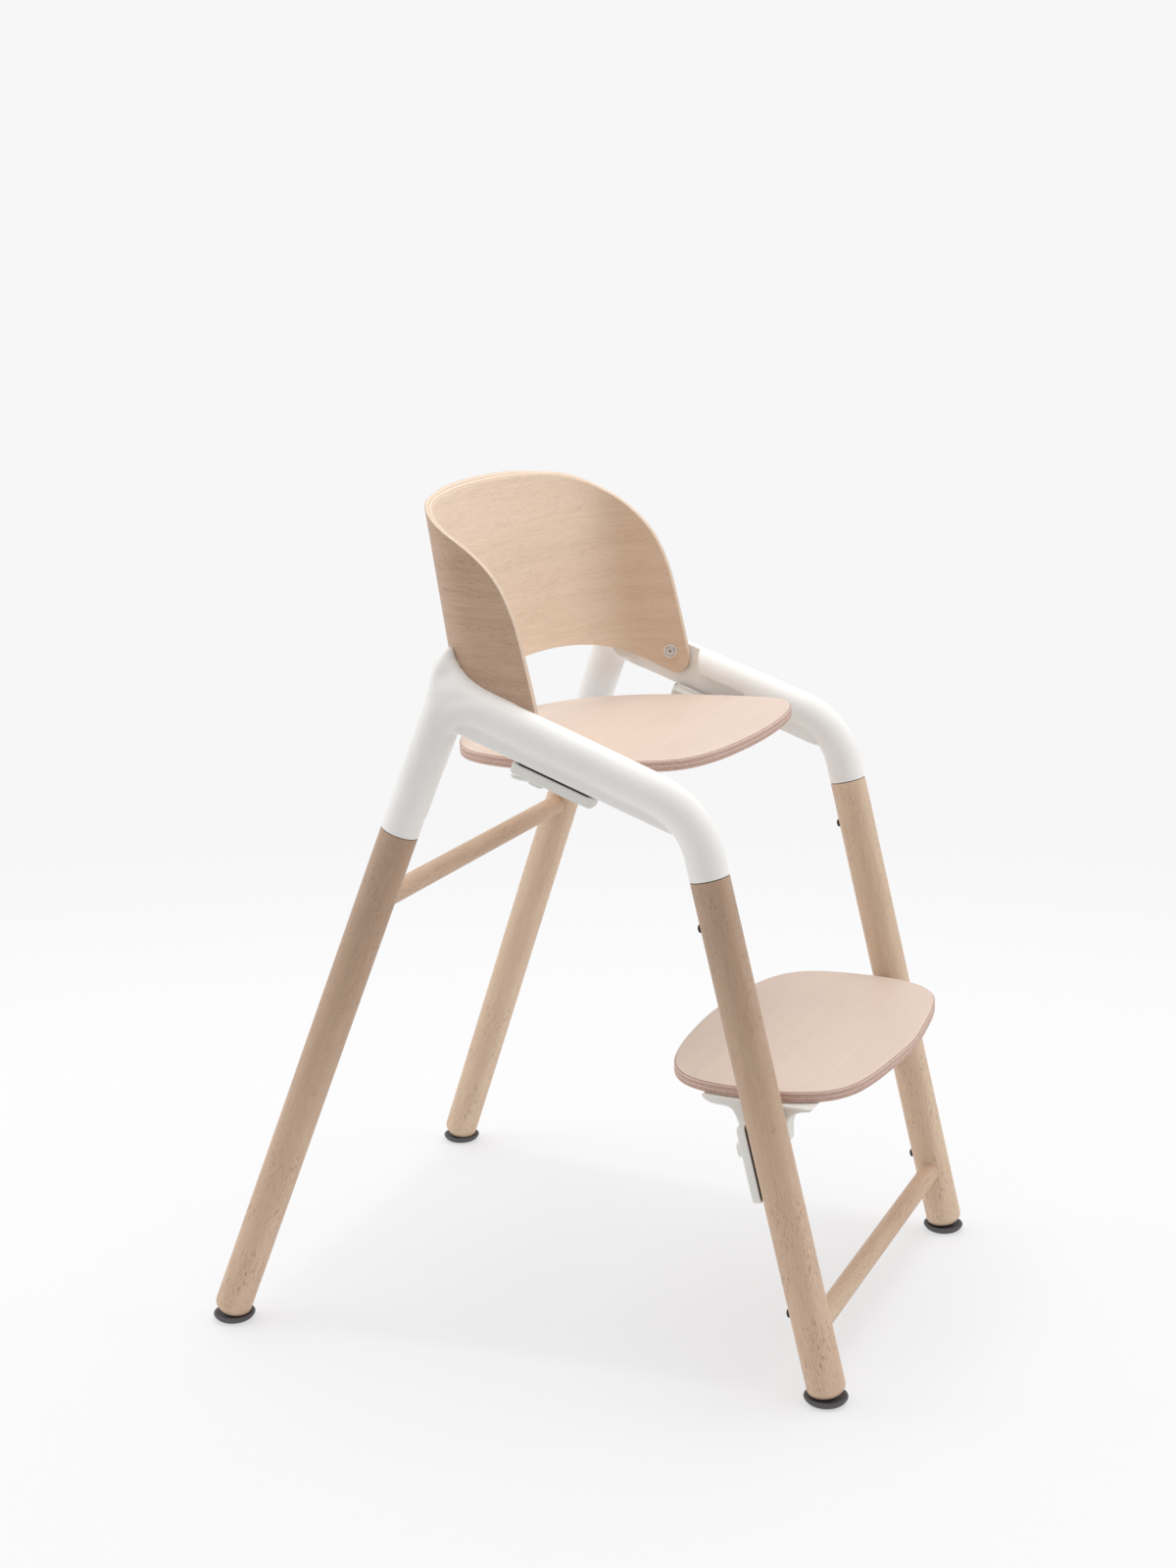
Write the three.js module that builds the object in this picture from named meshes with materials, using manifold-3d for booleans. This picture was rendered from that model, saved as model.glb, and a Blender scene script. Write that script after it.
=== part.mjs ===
// Baby high chair: beech legs, white cast arms, a bent plywood backrest, and a
// plywood seat and footrest that slide on clamps. Millimetres, +Z up, the front
// faces -Y, the origin is on the floor under the middle of the chair.
import * as THREE from 'three';
import { mergeVertices } from 'three/addons/utils/BufferGeometryUtils.js';
import Module from 'manifold-3d';

const wasm = await Module();
wasm.setup();

// Driving dimensions
const GAP = 0.3; // clearance between touching pieces
const LEG_R = 18.3;
const RUNG_R = 10.3;
const TENON_R = 8;
const TENON_DEPTH = 16;
const BALL_Z = 15.7; // height of the leg ends' rounding centre
const BALL_HEIGHT = 11.5;
const PAD_R = 20.7;
const FRONT_FOOT = new THREE.Vector3(206.5, -301.8, BALL_Z);
const FRONT_TOP = new THREE.Vector3(206.5, -191.8, 489);
const REAR_FOOT = new THREE.Vector3(255.1, 301.8, BALL_Z);
const REAR_TOP = new THREE.Vector3(211.5, 116.3, 507.5);
const ARM_REAR = new THREE.Vector3(198.2, 62, 636.9);
const ARM_CORNER = new THREE.Vector3(206.5, -178.2, 547.5);
const SHOULDER = new THREE.Vector3(203.3, 81.4, 600);
const SHOULDER_TOP = new THREE.Vector3(198.5, 62.5, 664);
const ARM_BEND_R = 75;
const ELBOW = new THREE.Vector3(199, 66.8, 638.7); // where the arm turns down into the rear post
const ELBOW_BEND_R = 42;
const FRONT_RUNG_Z = 68.2;
const REAR_RUNG_Z = 436.5;

const SHELL_HALF = 195.5; // half the backrest's outer width
const SHELL_T = 8;
const SHELL_DEPTH = 74; // depth of the curved rear stretch
const SHELL_POWER = 2.6; // how square the curved stretch is
const SHELL_STRAIGHT_Y = 20.8; // where the curve meets the straight sides
const SHELL_BASE_Z = 600;
const SHELL_LEAN = THREE.MathUtils.degToRad(8.83);
const SHELL_TOP_Z = 820;
const POCKET_FRONT_Y = -35; // front end of the backrest's pocket in the arm
const BACK_SCREW = new THREE.Vector3(0, -1.6, 618.6);

const SEAT_TOP = new THREE.Vector3(0, -40, 577.5);
const SEAT_TILT = THREE.MathUtils.degToRad(-2.39);
const SEAT_T = 10.7;
const FOOTREST_Z = 285;
const FOOTREST_T = 10.5;

const RAIL_HALF = 10; // half the rail's width
const RAIL_DROP = 27; // rail's underside below the arm's centre line
const SLOT_MOUTH = 5; // T-slot widths and depths
const SLOT_WIDE = 9;
const SLOT_LIP = 3;
const SLOT_DEEP = 6.5;
const SHOE_T = 1.2; // glide shoe's visible thickness
const STUD_R = 4;
const STUD_HALF = 28;
const SCREW_R = 2;

// Materials, one per finish
const finishes = {
  beech: { color: 0xcdb196, roughness: 0.55, metalness: 0 },
  plywood: { color: 0xe0c3ae, roughness: 0.5, metalness: 0 },
  white: { color: 0xf1f0ec, roughness: 0.45, metalness: 0 },
  dark: { color: 0x3a3a3c, roughness: 0.7, metalness: 0 },
  steel: { color: 0xb9b9bb, roughness: 0.35, metalness: 1 },
};

// Solids: closed three.js geometries joined and cut with manifold-3d
function bare(geometry) {
  const copy = geometry.index ? geometry.toNonIndexed() : geometry.clone();
  copy.deleteAttribute('normal');
  copy.deleteAttribute('uv');
  return mergeVertices(copy, 1e-4);
}

function solid(geometry) {
  const merged = bare(geometry);
  const mesh = new wasm.Mesh({
    numProp: 3,
    vertProperties: new Float32Array(merged.attributes.position.array),
    triVerts: new Uint32Array(merged.index.array),
  });
  return new wasm.Manifold(mesh);
}

function join(first, ...others) {
  return others.reduce((sum, geometry) => sum.add(solid(geometry)), solid(first));
}

function cut(body, ...cutters) {
  return cutters.reduce((rest, geometry) => rest.subtract(solid(geometry)), body);
}

function toGeometry(body) {
  const { vertProperties, triVerts } = body.getMesh();
  const geometry = new THREE.BufferGeometry();
  geometry.setAttribute('position', new THREE.BufferAttribute(vertProperties, 3));
  geometry.setIndex(new THREE.BufferAttribute(triVerts, 1));
  return geometry;
}

// Frames: a local origin and axes for each sub-assembly
function frameAt(origin, zAxis, xHint = new THREE.Vector3(1, 0, 0)) {
  const z = zAxis.clone().normalize();
  const y = new THREE.Vector3().crossVectors(z, xHint).normalize();
  const x = new THREE.Vector3().crossVectors(y, z);
  return new THREE.Matrix4().makeBasis(x, y, z).setPosition(origin);
}

function between(geometry, from, to) {
  const step = to.clone().invert().multiply(from);
  return geometry.clone().applyMatrix4(step);
}

const OBJECT = new THREE.Matrix4();
const MIRROR = new THREE.Matrix4().makeScale(-1, 1, 1);

function mirrored(geometry) {
  const copy = geometry.index ? geometry.toNonIndexed() : geometry.clone();
  copy.applyMatrix4(MIRROR);
  const { position } = copy.attributes;
  const a = new THREE.Vector3();
  const b = new THREE.Vector3();
  for (let i = 0; i < position.count; i += 3) {
    a.fromBufferAttribute(position, i);
    b.fromBufferAttribute(position, i + 1);
    position.setXYZ(i, b.x, b.y, b.z);
    position.setXYZ(i + 1, a.x, a.y, a.z);
  }
  return bare(copy);
}

const chair = new THREE.Group();
const seat = new THREE.Group();
const footrest = new THREE.Group();
chair.add(seat, footrest);

function addPiece(group, name, geometry, finish, frame = OBJECT) {
  const material = new THREE.MeshStandardMaterial(finishes[finish]);
  const mesh = new THREE.Mesh(geometry, material);
  mesh.name = name;
  mesh.applyMatrix4(frame);
  group.add(mesh);
}

function addPair(group, name, geometry, finish, frame = OBJECT) {
  addPiece(group, `${name}_left`, geometry, finish, frame);
  const across = MIRROR.clone().multiply(frame).multiply(MIRROR);
  addPiece(group, `${name}_right`, mirrored(geometry), finish, across);
}

// Basic forms
function cylinderZ(r, z0, z1, sides = 20) {
  const geometry = new THREE.CylinderGeometry(r, r, z1 - z0, sides);
  return geometry.rotateX(Math.PI / 2).translate(0, 0, (z0 + z1) / 2);
}

function cylinderX(r, x0, x1, y, z, sides = 32) {
  const geometry = new THREE.CylinderGeometry(r, r, x1 - x0, sides);
  return geometry.rotateZ(Math.PI / 2).translate((x0 + x1) / 2, y, z);
}

function block(x0, x1, y0, y1, z0, z1) {
  const geometry = new THREE.BoxGeometry(x1 - x0, y1 - y0, z1 - z0);
  return geometry.translate((x0 + x1) / 2, (y0 + y1) / 2, (z0 + z1) / 2);
}

function slabZ(shape, z0, z1, edge = 0, smoothness = 2) {
  const geometry = new THREE.ExtrudeGeometry(shape, {
    depth: z1 - z0 - 2 * edge,
    bevelEnabled: edge > 0,
    bevelThickness: edge,
    bevelSize: edge,
    bevelOffset: -edge,
    bevelSegments: 1,
    curveSegments: smoothness,
  });
  return geometry.translate(0, 0, z0 + edge);
}

// A profile drawn in Y and Z, extruded along X
function slabX(shape, x0, x1, edge = 0, smoothness = 5) {
  const turn = new THREE.Matrix4().makeBasis(
    new THREE.Vector3(0, 1, 0),
    new THREE.Vector3(0, 0, 1),
    new THREE.Vector3(1, 0, 0),
  );
  return slabZ(shape, x0, x1, edge, smoothness).applyMatrix4(turn);
}

// A profile drawn in X and Z, extruded along Y
function slabY(shape, y0, y1) {
  const turn = new THREE.Matrix4().makeBasis(
    new THREE.Vector3(1, 0, 0),
    new THREE.Vector3(0, 0, 1),
    new THREE.Vector3(0, -1, 0),
  );
  return slabZ(shape, -y1, -y0).applyMatrix4(turn);
}

function polygon(points) {
  return new THREE.Shape(points.map(([u, v]) => new THREE.Vector2(u, v)));
}

function roundedBar(u0, u1, v0, v1, r) {
  const shape = new THREE.Shape();
  shape.moveTo(u0 + r, v0);
  shape.lineTo(u1 - r, v0);
  shape.absarc(u1 - r, v0 + r, r, -Math.PI / 2, 0);
  shape.lineTo(u1, v1 - r);
  shape.absarc(u1 - r, v1 - r, r, 0, Math.PI / 2);
  shape.lineTo(u0 + r, v1);
  shape.absarc(u0 + r, v1 - r, r, Math.PI / 2, Math.PI);
  shape.lineTo(u0, v0 + r);
  shape.absarc(u0 + r, v0 + r, r, Math.PI, 1.5 * Math.PI);
  return shape;
}

function circle(r) {
  return new THREE.Shape().absarc(0, 0, r, 0, 2 * Math.PI);
}

// A path given by stations, with a full ring of the section at each one
class StationPath extends THREE.Curve {
  constructor(stations) {
    super();
    this.stations = stations;
  }

  at(u) {
    return this.stations[Math.round(u * (this.stations.length - 1))];
  }

  getPointAt(u) {
    return this.at(u).point.clone();
  }

  getTangentAt(u) {
    return this.at(u).tangent.clone();
  }

  getSpacedPoints() {
    return this.stations.map((station) => station.point.clone());
  }
}

function sweep(stations, radius) {
  return new THREE.ExtrudeGeometry(circle(radius), {
    steps: stations.length - 1,
    curveSegments: 16,
    extrudePath: new StationPath(stations),
  });
}

// Stations from start to end round one corner, with an arc of the given radius
function bentStations(start, corner, end, radius, count) {
  const before = corner.clone().sub(start).normalize();
  const after = end.clone().sub(corner).normalize();
  const angle = before.angleTo(after);
  const reach = radius * Math.tan(angle / 2);
  const arcStart = corner.clone().addScaledVector(before, -reach);
  const inward = after.clone().addScaledVector(before, -after.dot(before)).normalize();
  const centre = arcStart.clone().addScaledVector(inward, radius);
  const stations = [{ point: start, tangent: before }];
  for (let i = 0; i <= count; i += 1) {
    const turn = (angle * i) / count;
    const point = centre.clone();
    point.addScaledVector(inward, -radius * Math.cos(turn));
    point.addScaledVector(before, radius * Math.sin(turn));
    const tangent = before.clone().multiplyScalar(Math.cos(turn));
    tangent.addScaledVector(inward, Math.sin(turn));
    stations.push({ point, tangent });
  }
  stations.push({ point: end, tangent: after });
  return stations;
}

function straightStations(...points) {
  return points.map((point, i) => {
    const from = points[Math.max(i - 1, 0)];
    const to = points[Math.min(i + 1, points.length - 1)];
    return { point, tangent: to.clone().sub(from).normalize() };
  });
}

// Local frames
const frontLegAxis = FRONT_TOP.clone().sub(FRONT_FOOT);
const rearLegAxis = REAR_TOP.clone().sub(REAR_FOOT);
const frontLegFrame = frameAt(FRONT_FOOT, frontLegAxis);
const rearLegFrame = frameAt(REAR_FOOT, rearLegAxis);
const armAxis = ARM_REAR.clone().sub(ARM_CORNER).normalize();
const armOrigin = ARM_CORNER.clone().addScaledVector(armAxis, 136.8);
const armUp = new THREE.Vector3().crossVectors(new THREE.Vector3(1, 0, 0), armAxis);
const armFrame = frameAt(armOrigin, armUp);
const seatFrame = new THREE.Matrix4().makeRotationX(SEAT_TILT).setPosition(SEAT_TOP);
const FRONT_LEG_LENGTH = frontLegAxis.length();
const REAR_LEG_LENGTH = rearLegAxis.length();

function onAxis(foot, axis, z) {
  return foot.clone().addScaledVector(axis, (z - foot.z) / axis.z);
}

const frontRungAt = onAxis(FRONT_FOOT, frontLegAxis, FRONT_RUNG_Z);
const rearRungAt = onAxis(REAR_FOOT, rearLegAxis, REAR_RUNG_Z);

// T-slot profile for a face at height 0, opening downwards (v runs into the face)
function slotProfile(mouth, wide, lip, deep) {
  const side = [
    [mouth / 2, 0],
    [mouth / 2, lip],
    [wide / 2, lip],
    [wide / 2, deep],
  ];
  const other = side.map(([u, v]) => [-u, v]).reverse();
  return [...side, ...other];
}

const slotPoints = slotProfile(SLOT_MOUTH, SLOT_WIDE, SLOT_LIP, SLOT_DEEP);
const runnerPoints = slotProfile(
  SLOT_MOUTH - 2 * GAP,
  SLOT_WIDE - 2 * GAP,
  SLOT_LIP + GAP,
  SLOT_DEEP - GAP,
);

// Legs, feet and rungs
const SLOT_FROM = 78; // the footrest's slot along the front leg
const SLOT_TO = 435;
const STOP_HEIGHTS = { lower: 72, upper: 441 };
const STOP_HEAD_R = 4;
const STOP_HEAD_T = 2.6;
const PIN_R = 4;
const PIN_TOP = 24;

function legProfile(length, radius, ball) {
  const points = [];
  const arc = 5;
  for (let i = 0; i <= arc; i += 1) {
    const turn = (Math.PI / 2) * (i / arc);
    points.push(new THREE.Vector2(radius * Math.sin(turn), -ball * Math.cos(turn)));
  }
  points[0].x = 0;
  points.push(new THREE.Vector2(radius, length));
  points.push(new THREE.Vector2(0, length));
  return points;
}

function legBlank(length, extra = 0) {
  const profile = legProfile(length, LEG_R + extra, BALL_HEIGHT + extra);
  return new THREE.LatheGeometry(profile, 32).rotateX(Math.PI / 2);
}

function footPin(foot, extra) {
  return cylinderZ(PIN_R + extra, -1, PIN_TOP + extra, 24).translate(foot.x, foot.y, 0);
}

function rungBore(at, radius) {
  return cylinderX(radius, at.x - LEG_R - 5, at.x - LEG_R + TENON_DEPTH + GAP, at.y, at.z);
}

function studBore(length) {
  return cylinderZ(STUD_R + GAP, length - STUD_HALF - GAP, length + 1, 24);
}

// The leg's rear face is its local +Y side
function legSlot(points, z0, z1) {
  const shape = polygon(points.map(([u, v]) => [u, LEG_R - v]));
  const clockwise = THREE.ShapeUtils.isClockWise(shape.getPoints());
  const ordered = clockwise ? shape.getPoints().reverse() : shape.getPoints();
  return slabZ(new THREE.Shape(ordered), z0, z1);
}

function stopScrew(height, extra = 0) {
  const shank = cylinderZ(SCREW_R + extra, -LEG_R - 1, -6 + extra, 20);
  const headBase = LEG_R + GAP;
  const head = cylinderZ(STOP_HEAD_R, -headBase - STOP_HEAD_T, -headBase, 20);
  const pieces = extra > 0 ? solid(shank) : join(shank, head);
  const upright = toGeometry(pieces).rotateX(Math.PI / 2);
  return upright.translate(0, 0, height);
}

function buildFrontLeg() {
  const stops = Object.values(STOP_HEIGHTS).map((height) => stopScrew(height, GAP));
  const leg = cut(
    solid(legBlank(FRONT_LEG_LENGTH - GAP)),
    between(footPin(FRONT_FOOT, GAP), OBJECT, frontLegFrame),
    between(rungBore(frontRungAt, TENON_R + GAP), OBJECT, frontLegFrame),
    studBore(FRONT_LEG_LENGTH),
    legSlot([[SLOT_MOUTH / 2, -1], ...slotPoints, [-SLOT_MOUTH / 2, -1]], SLOT_FROM, SLOT_TO),
    ...stops,
  );
  addPair(chair, 'front_leg', toGeometry(leg), 'beech', frontLegFrame);
  for (const [where, height] of Object.entries(STOP_HEIGHTS)) {
    addPair(chair, `track_stop_${where}`, stopScrew(height), 'dark', frontLegFrame);
  }
}

function buildRearLeg() {
  const leg = cut(
    solid(legBlank(REAR_LEG_LENGTH - GAP)),
    between(footPin(REAR_FOOT, GAP), OBJECT, rearLegFrame),
    between(rungBore(rearRungAt, TENON_R + GAP), OBJECT, rearLegFrame),
    studBore(REAR_LEG_LENGTH),
  );
  addPair(chair, 'rear_leg', toGeometry(leg), 'beech', rearLegFrame);
}

function buildStuds() {
  const stud = cylinderZ(STUD_R, -STUD_HALF, STUD_HALF, 24);
  const places = {
    front_leg_stud: [frontLegFrame, FRONT_LEG_LENGTH],
    rear_leg_stud: [rearLegFrame, REAR_LEG_LENGTH],
  };
  for (const [name, [frame, length]] of Object.entries(places)) {
    const middle = new THREE.Matrix4().makeTranslation(0, 0, length);
    addPair(chair, name, toGeometry(solid(stud)), 'steel', frame.clone().multiply(middle));
  }
}

function buildFootPad(name, foot, frame, length) {
  const rim = [
    [0, 0],
    [15.5, 0],
    [18.4, 1.6],
    [PAD_R, 5],
    [PAD_R, 6.2],
    [PAD_R - 1, 7],
    [0, 7],
  ];
  const dish = new THREE.LatheGeometry(
    rim.map(([r, z]) => new THREE.Vector2(r, z)),
    32,
  ).rotateX(Math.PI / 2);
  const pin = cylinderZ(PIN_R, 1, PIN_TOP, 24);
  const place = new THREE.Matrix4().makeTranslation(foot.x, foot.y, 0);
  const cup = cut(solid(dish), between(legBlank(length, GAP), frame, place));
  addPair(chair, name, toGeometry(cup.add(solid(pin))), 'dark', place);
}

function buildRung(name, at, legFrame, length) {
  const reach = at.x - LEG_R + TENON_DEPTH;
  const dowel = cylinderX(RUNG_R, -at.x, at.x, at.y, at.z);
  const tenon = cylinderX(TENON_R, -reach, reach, at.y, at.z);
  const leg = between(legBlank(length, GAP), legFrame, OBJECT);
  const rung = cut(solid(dowel), leg, mirrored(leg)).add(solid(tenon));
  const middle = new THREE.Matrix4().makeTranslation(0, at.y, at.z);
  addPiece(chair, name, between(toGeometry(rung), OBJECT, middle), 'beech', middle);
}

// Backrest: plan curve from the rear middle to the front end of one side
function shellPlan(offset) {
  const half = SHELL_HALF + offset;
  const depth = SHELL_DEPTH + offset;
  const count = 20;
  const points = [];
  for (let i = 0; i <= count; i += 1) {
    const turn = (Math.PI / 2) * (1 - i / count);
    const x = half * Math.cos(turn) ** (2 / SHELL_POWER);
    const y = SHELL_STRAIGHT_Y + depth * Math.sin(turn) ** (2 / SHELL_POWER);
    points.push([Math.abs(x), y]);
  }
  return points;
}

function bothSides(points, frontY) {
  const [half] = points[points.length - 1];
  const right = [...points, [half, frontY]];
  const left = right.slice(1).map(([x, y]) => [-x, y]).reverse();
  return [...left, ...right];
}

function leaning(geometry) {
  const slope = Math.tan(SHELL_LEAN);
  const lean = new THREE.Matrix4().makeShear(0, 0, 0, 0, 0, slope);
  const down = new THREE.Matrix4().makeTranslation(0, 0, -SHELL_BASE_Z);
  const up = new THREE.Matrix4().makeTranslation(0, 0, SHELL_BASE_Z);
  return geometry.applyMatrix4(down).applyMatrix4(lean).applyMatrix4(up);
}

function shellPlug(offset, frontY, z0, z1) {
  const outline = bothSides(shellPlan(offset), frontY);
  return leaning(slabZ(polygon(outline.reverse()), z0, z1));
}

// Side view of the backrest: sloping lower edge, rounded nose, domed top
function shellSide() {
  const side = new THREE.Shape();
  side.moveTo(160, 662.8);
  side.lineTo(160, SHELL_TOP_Z);
  side.lineTo(129, SHELL_TOP_Z);
  side.splineThru([
    new THREE.Vector2(119, 813.5),
    new THREE.Vector2(104, 807),
    new THREE.Vector2(80, 793),
    new THREE.Vector2(45, 771),
    new THREE.Vector2(19, 745),
    new THREE.Vector2(2, 711),
    new THREE.Vector2(-9.5, 668),
    new THREE.Vector2(-21.3, 616),
  ]);
  side.bezierCurveTo(-24, 604, -16, 592, -2, 596.5);
  side.closePath();
  return side;
}

function buildBackrest() {
  const outer = shellPlug(0, -60, 560, 860);
  const inner = shellPlug(-SHELL_T, -70, 550, 870);
  const holes = [1, -1].map((side) => {
    const x0 = Math.min(side * (SHELL_HALF - 20), side * (SHELL_HALF + 10));
    return cylinderX(SCREW_R + 1.3, x0, x0 + 30, BACK_SCREW.y, BACK_SCREW.z, 24);
  });
  const sheet = cut(solid(outer), inner);
  const trimmed = sheet.intersect(solid(slabX(shellSide(), -220, 220, 0, 5)));
  addPiece(chair, 'backrest', toGeometry(cut(trimmed, ...holes)), 'plywood');
}

function buildBackrestFixings() {
  const headX = SHELL_HALF - SHELL_T - GAP;
  const shankEnd = 208;
  const profile = [
    [0, 0],
    [SCREW_R + 0.9, 0],
    [SCREW_R + 0.9, shankEnd - headX],
    [7.2, shankEnd - headX],
    [7.2, shankEnd - headX + 0.9],
    [5.6, shankEnd - headX + 1.8],
    [1.1, shankEnd - headX + 1.8],
    [1.1, shankEnd - headX + 0.6],
    [0, shankEnd - headX + 0.6],
  ];
  const place = new THREE.Matrix4().makeTranslation(shankEnd, BACK_SCREW.y, BACK_SCREW.z);
  const screw = new THREE.LatheGeometry(profile.map(([r, z]) => new THREE.Vector2(r, z)), 32);
  addPair(chair, 'backrest_screw', toGeometry(solid(screw.rotateZ(Math.PI / 2))), 'steel', place);
  const insertX = SHELL_HALF + 2 * GAP;
  const tube = solid(cylinderX(5, insertX, insertX + 16, BACK_SCREW.y, BACK_SCREW.z, 24));
  const bore = cylinderX(SCREW_R + 1.2, insertX - 1, insertX + 17, BACK_SCREW.y, BACK_SCREW.z, 24);
  const at = new THREE.Matrix4().makeTranslation(insertX, BACK_SCREW.y, BACK_SCREW.z);
  const insert = between(toGeometry(cut(tube, bore)), OBJECT, at);
  addPair(chair, 'backrest_insert', insert, 'steel', at);
}

// Side frame: arm tube, front bend, shoulder over the rear leg and its web
const WEB_HALF = 12;

function webSolid() {
  const shape = polygon([[0, 618], [80, 625], [79, 664], [66, 684], [20, 655]]);
  return solid(slabX(shape, SHOULDER_TOP.x - WEB_HALF, SHOULDER_TOP.x + WEB_HALF));
}

// Everything above the crest that runs from the arm up to the shoulder's tip
function aboveCrest() {
  const shape = new THREE.Shape();
  shape.moveTo(69, 720);
  shape.lineTo(68.5, 681);
  shape.splineThru([
    new THREE.Vector2(66, 672.5),
    new THREE.Vector2(58, 662.5),
    new THREE.Vector2(47.5, 654),
    new THREE.Vector2(28.5, 643.3),
    new THREE.Vector2(8, 635),
  ]);
  shape.lineTo(-60, 610);
  shape.lineTo(-60, 720);
  shape.closePath();
  return slabX(shape, 150, 250);
}

function armSolid(radius) {
  const stations = bentStations(ARM_REAR, ARM_CORNER, FRONT_TOP, ARM_BEND_R, 9);
  return solid(sweep(stations, radius));
}

function elbowSolid(radius) {
  const start = ARM_CORNER.clone().lerp(ARM_REAR, 0.5);
  const end = REAR_TOP.clone().lerp(SHOULDER, 0.3);
  return solid(sweep(bentStations(start, ELBOW, end, ELBOW_BEND_R, 4), radius));
}

// Gusset in the inner corner, where the rail runs down into the rear post
function gussetSolid() {
  const shape = polygon([
    [56, 606], [67.5, 582.2], [78.6, 556.2], [91, 526], [98, 526], [90, 620], [52, 612],
  ]);
  return solid(slabX(shape, 199, 209));
}

function shoulderSolid(radius) {
  const stations = straightStations(REAR_TOP, SHOULDER, SHOULDER_TOP);
  const dome = new THREE.SphereGeometry(radius, 32, 12).rotateX(Math.PI / 2);
  return solid(sweep(stations, radius)).add(solid(dome.translate(...SHOULDER_TOP.toArray())));
}

// Shallow track on the arm's inner side, just in front of the backrest's pocket
function innerTrack() {
  const shape = new THREE.Shape();
  shape.moveTo(24, -4);
  shape.lineTo(-34, -4);
  shape.absarc(-34, -12, 8, Math.PI / 2, Math.PI);
  shape.lineTo(-42, -30);
  shape.lineTo(24, -30);
  shape.closePath();
  return slabX(shape, -30, SHELL_HALF + GAP - armOrigin.x);
}

// Rail under the arm, in the arm's frame: Y runs back along the arm
const RAIL_FRONT = -132;
const RAIL_REAR = 108;
const RAIL_SLOT_FRONT = -106;
const RAIL_SLOT_REAR = 96;

function railSolid() {
  const outline = roundedBar(-RAIL_HALF, RAIL_HALF, RAIL_FRONT, RAIL_REAR, RAIL_HALF - 0.5);
  return solid(between(slabZ(outline, -RAIL_DROP, -8, 1.5), armFrame, OBJECT));
}

function railSlot() {
  const mouth = [SLOT_MOUTH / 2, -2];
  const points = [mouth, ...slotPoints, [-mouth[0], mouth[1]]];
  const shape = polygon(points.map(([u, v]) => [u, v - RAIL_DROP]));
  return between(slabY(shape, RAIL_SLOT_FRONT, RAIL_SLOT_REAR), armFrame, OBJECT);
}

function studSocket(frame, length) {
  const socket = cylinderZ(STUD_R + GAP, length - 1, length + STUD_HALF + GAP);
  return between(socket, frame, OBJECT);
}

function buildSideFrame() {
  const insertX = SHELL_HALF + GAP;
  const shoulder = cut(shoulderSolid(LEG_R).add(webSolid()), aboveCrest());
  const frame = cut(
    shoulder.add(armSolid(LEG_R)).add(elbowSolid(LEG_R)).add(gussetSolid()).add(railSolid()),
    shellPlug(GAP, POCKET_FRONT_Y, 560, 720),
    between(innerTrack(), armFrame, OBJECT),
    railSlot(),
    studSocket(frontLegFrame, FRONT_LEG_LENGTH),
    studSocket(rearLegFrame, REAR_LEG_LENGTH),
    cylinderX(5 + GAP, insertX - 5, insertX + 17, BACK_SCREW.y, BACK_SCREW.z, 24),
  );
  addPair(chair, 'side_frame', between(toGeometry(frame), OBJECT, armFrame), 'white', armFrame);
}

// Clamps, shoes, buttons and springs are alike on the seat and the footrest.
// In a clamp's own frame Y runs along the track and Z points at the track,
// with the track's face at Z = 0.
class Coil extends THREE.Curve {
  constructor(radius, length, turns) {
    super();
    Object.assign(this, { radius, length, turns });
  }

  getPoint(t, target = new THREE.Vector3()) {
    const turn = 2 * Math.PI * this.turns * t;
    return target.set(this.radius * Math.cos(turn), this.radius * Math.sin(turn), this.length * t);
  }
}

function pill(width, length) {
  return roundedBar(-width / 2, width / 2, -length / 2, length / 2, width / 2 - 0.2);
}

const seatClamp = {
  width: 20, from: -45, to: 41, depth: 10, shoe: [-40, 36], buttonAt: 15,
  buttonWidth: 9, buttonLength: 15, buttonTip: 5, buttonRoot: 4, travel: 2.5, hugsLeg: false,
};
const footrestClamp = {
  width: 16, from: 181, to: 255, depth: 7.4, shoe: [184, 252], buttonAt: 232,
  buttonWidth: 9, buttonLength: 14, buttonTip: 5, buttonRoot: 3.4, travel: 2, hugsLeg: true,
};

function clampTop() {
  return -SHOE_T - 2 * GAP;
}

function clampBar(clamp) {
  const outline = roundedBar(-clamp.width / 2, clamp.width / 2, clamp.from, clamp.to, 5);
  return slabZ(outline, clampTop() - clamp.depth, clamp.hugsLeg ? 0 : clampTop(), 1.2);
}

function buttonPocket(clamp) {
  const face = clampTop() - clamp.depth;
  const outline = pill(clamp.buttonWidth + 2 * GAP, clamp.buttonLength + 2 * GAP);
  const pocket = slabZ(outline, face - 2, face + clamp.buttonRoot + clamp.travel + 0.8);
  return pocket.translate(0, clamp.buttonAt, 0);
}

// The leg's skin with some clearance, seen from the footrest's clamp
function legCylinder(clamp, clearance) {
  const cylinder = cylinderZ(LEG_R + clearance, clamp.from - 5, clamp.to + 5, 48);
  return between(cylinder, frontLegFrame, footrestClampFrame);
}

function glideShoe(clamp) {
  const [from, to] = clamp.shoe;
  const half = clamp.hugsLeg ? 6.5 : 9;
  const outline = roundedBar(-half, half, from, to, 4);
  let plate = solid(slabZ(outline, -SHOE_T - GAP, clamp.hugsLeg ? 3 : -GAP));
  if (clamp.hugsLeg) {
    plate = cut(plate.intersect(solid(legCylinder(clamp, SHOE_T + GAP))), legCylinder(clamp, GAP));
  }
  const runner = runnerPoints.map(([u, v]) => [u, v === 0 ? -GAP - 0.4 : v]);
  const tongue = slabY(polygon(runner.reverse()), from + 6, to - 6);
  return toGeometry(plate.add(solid(tongue)));
}

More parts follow.
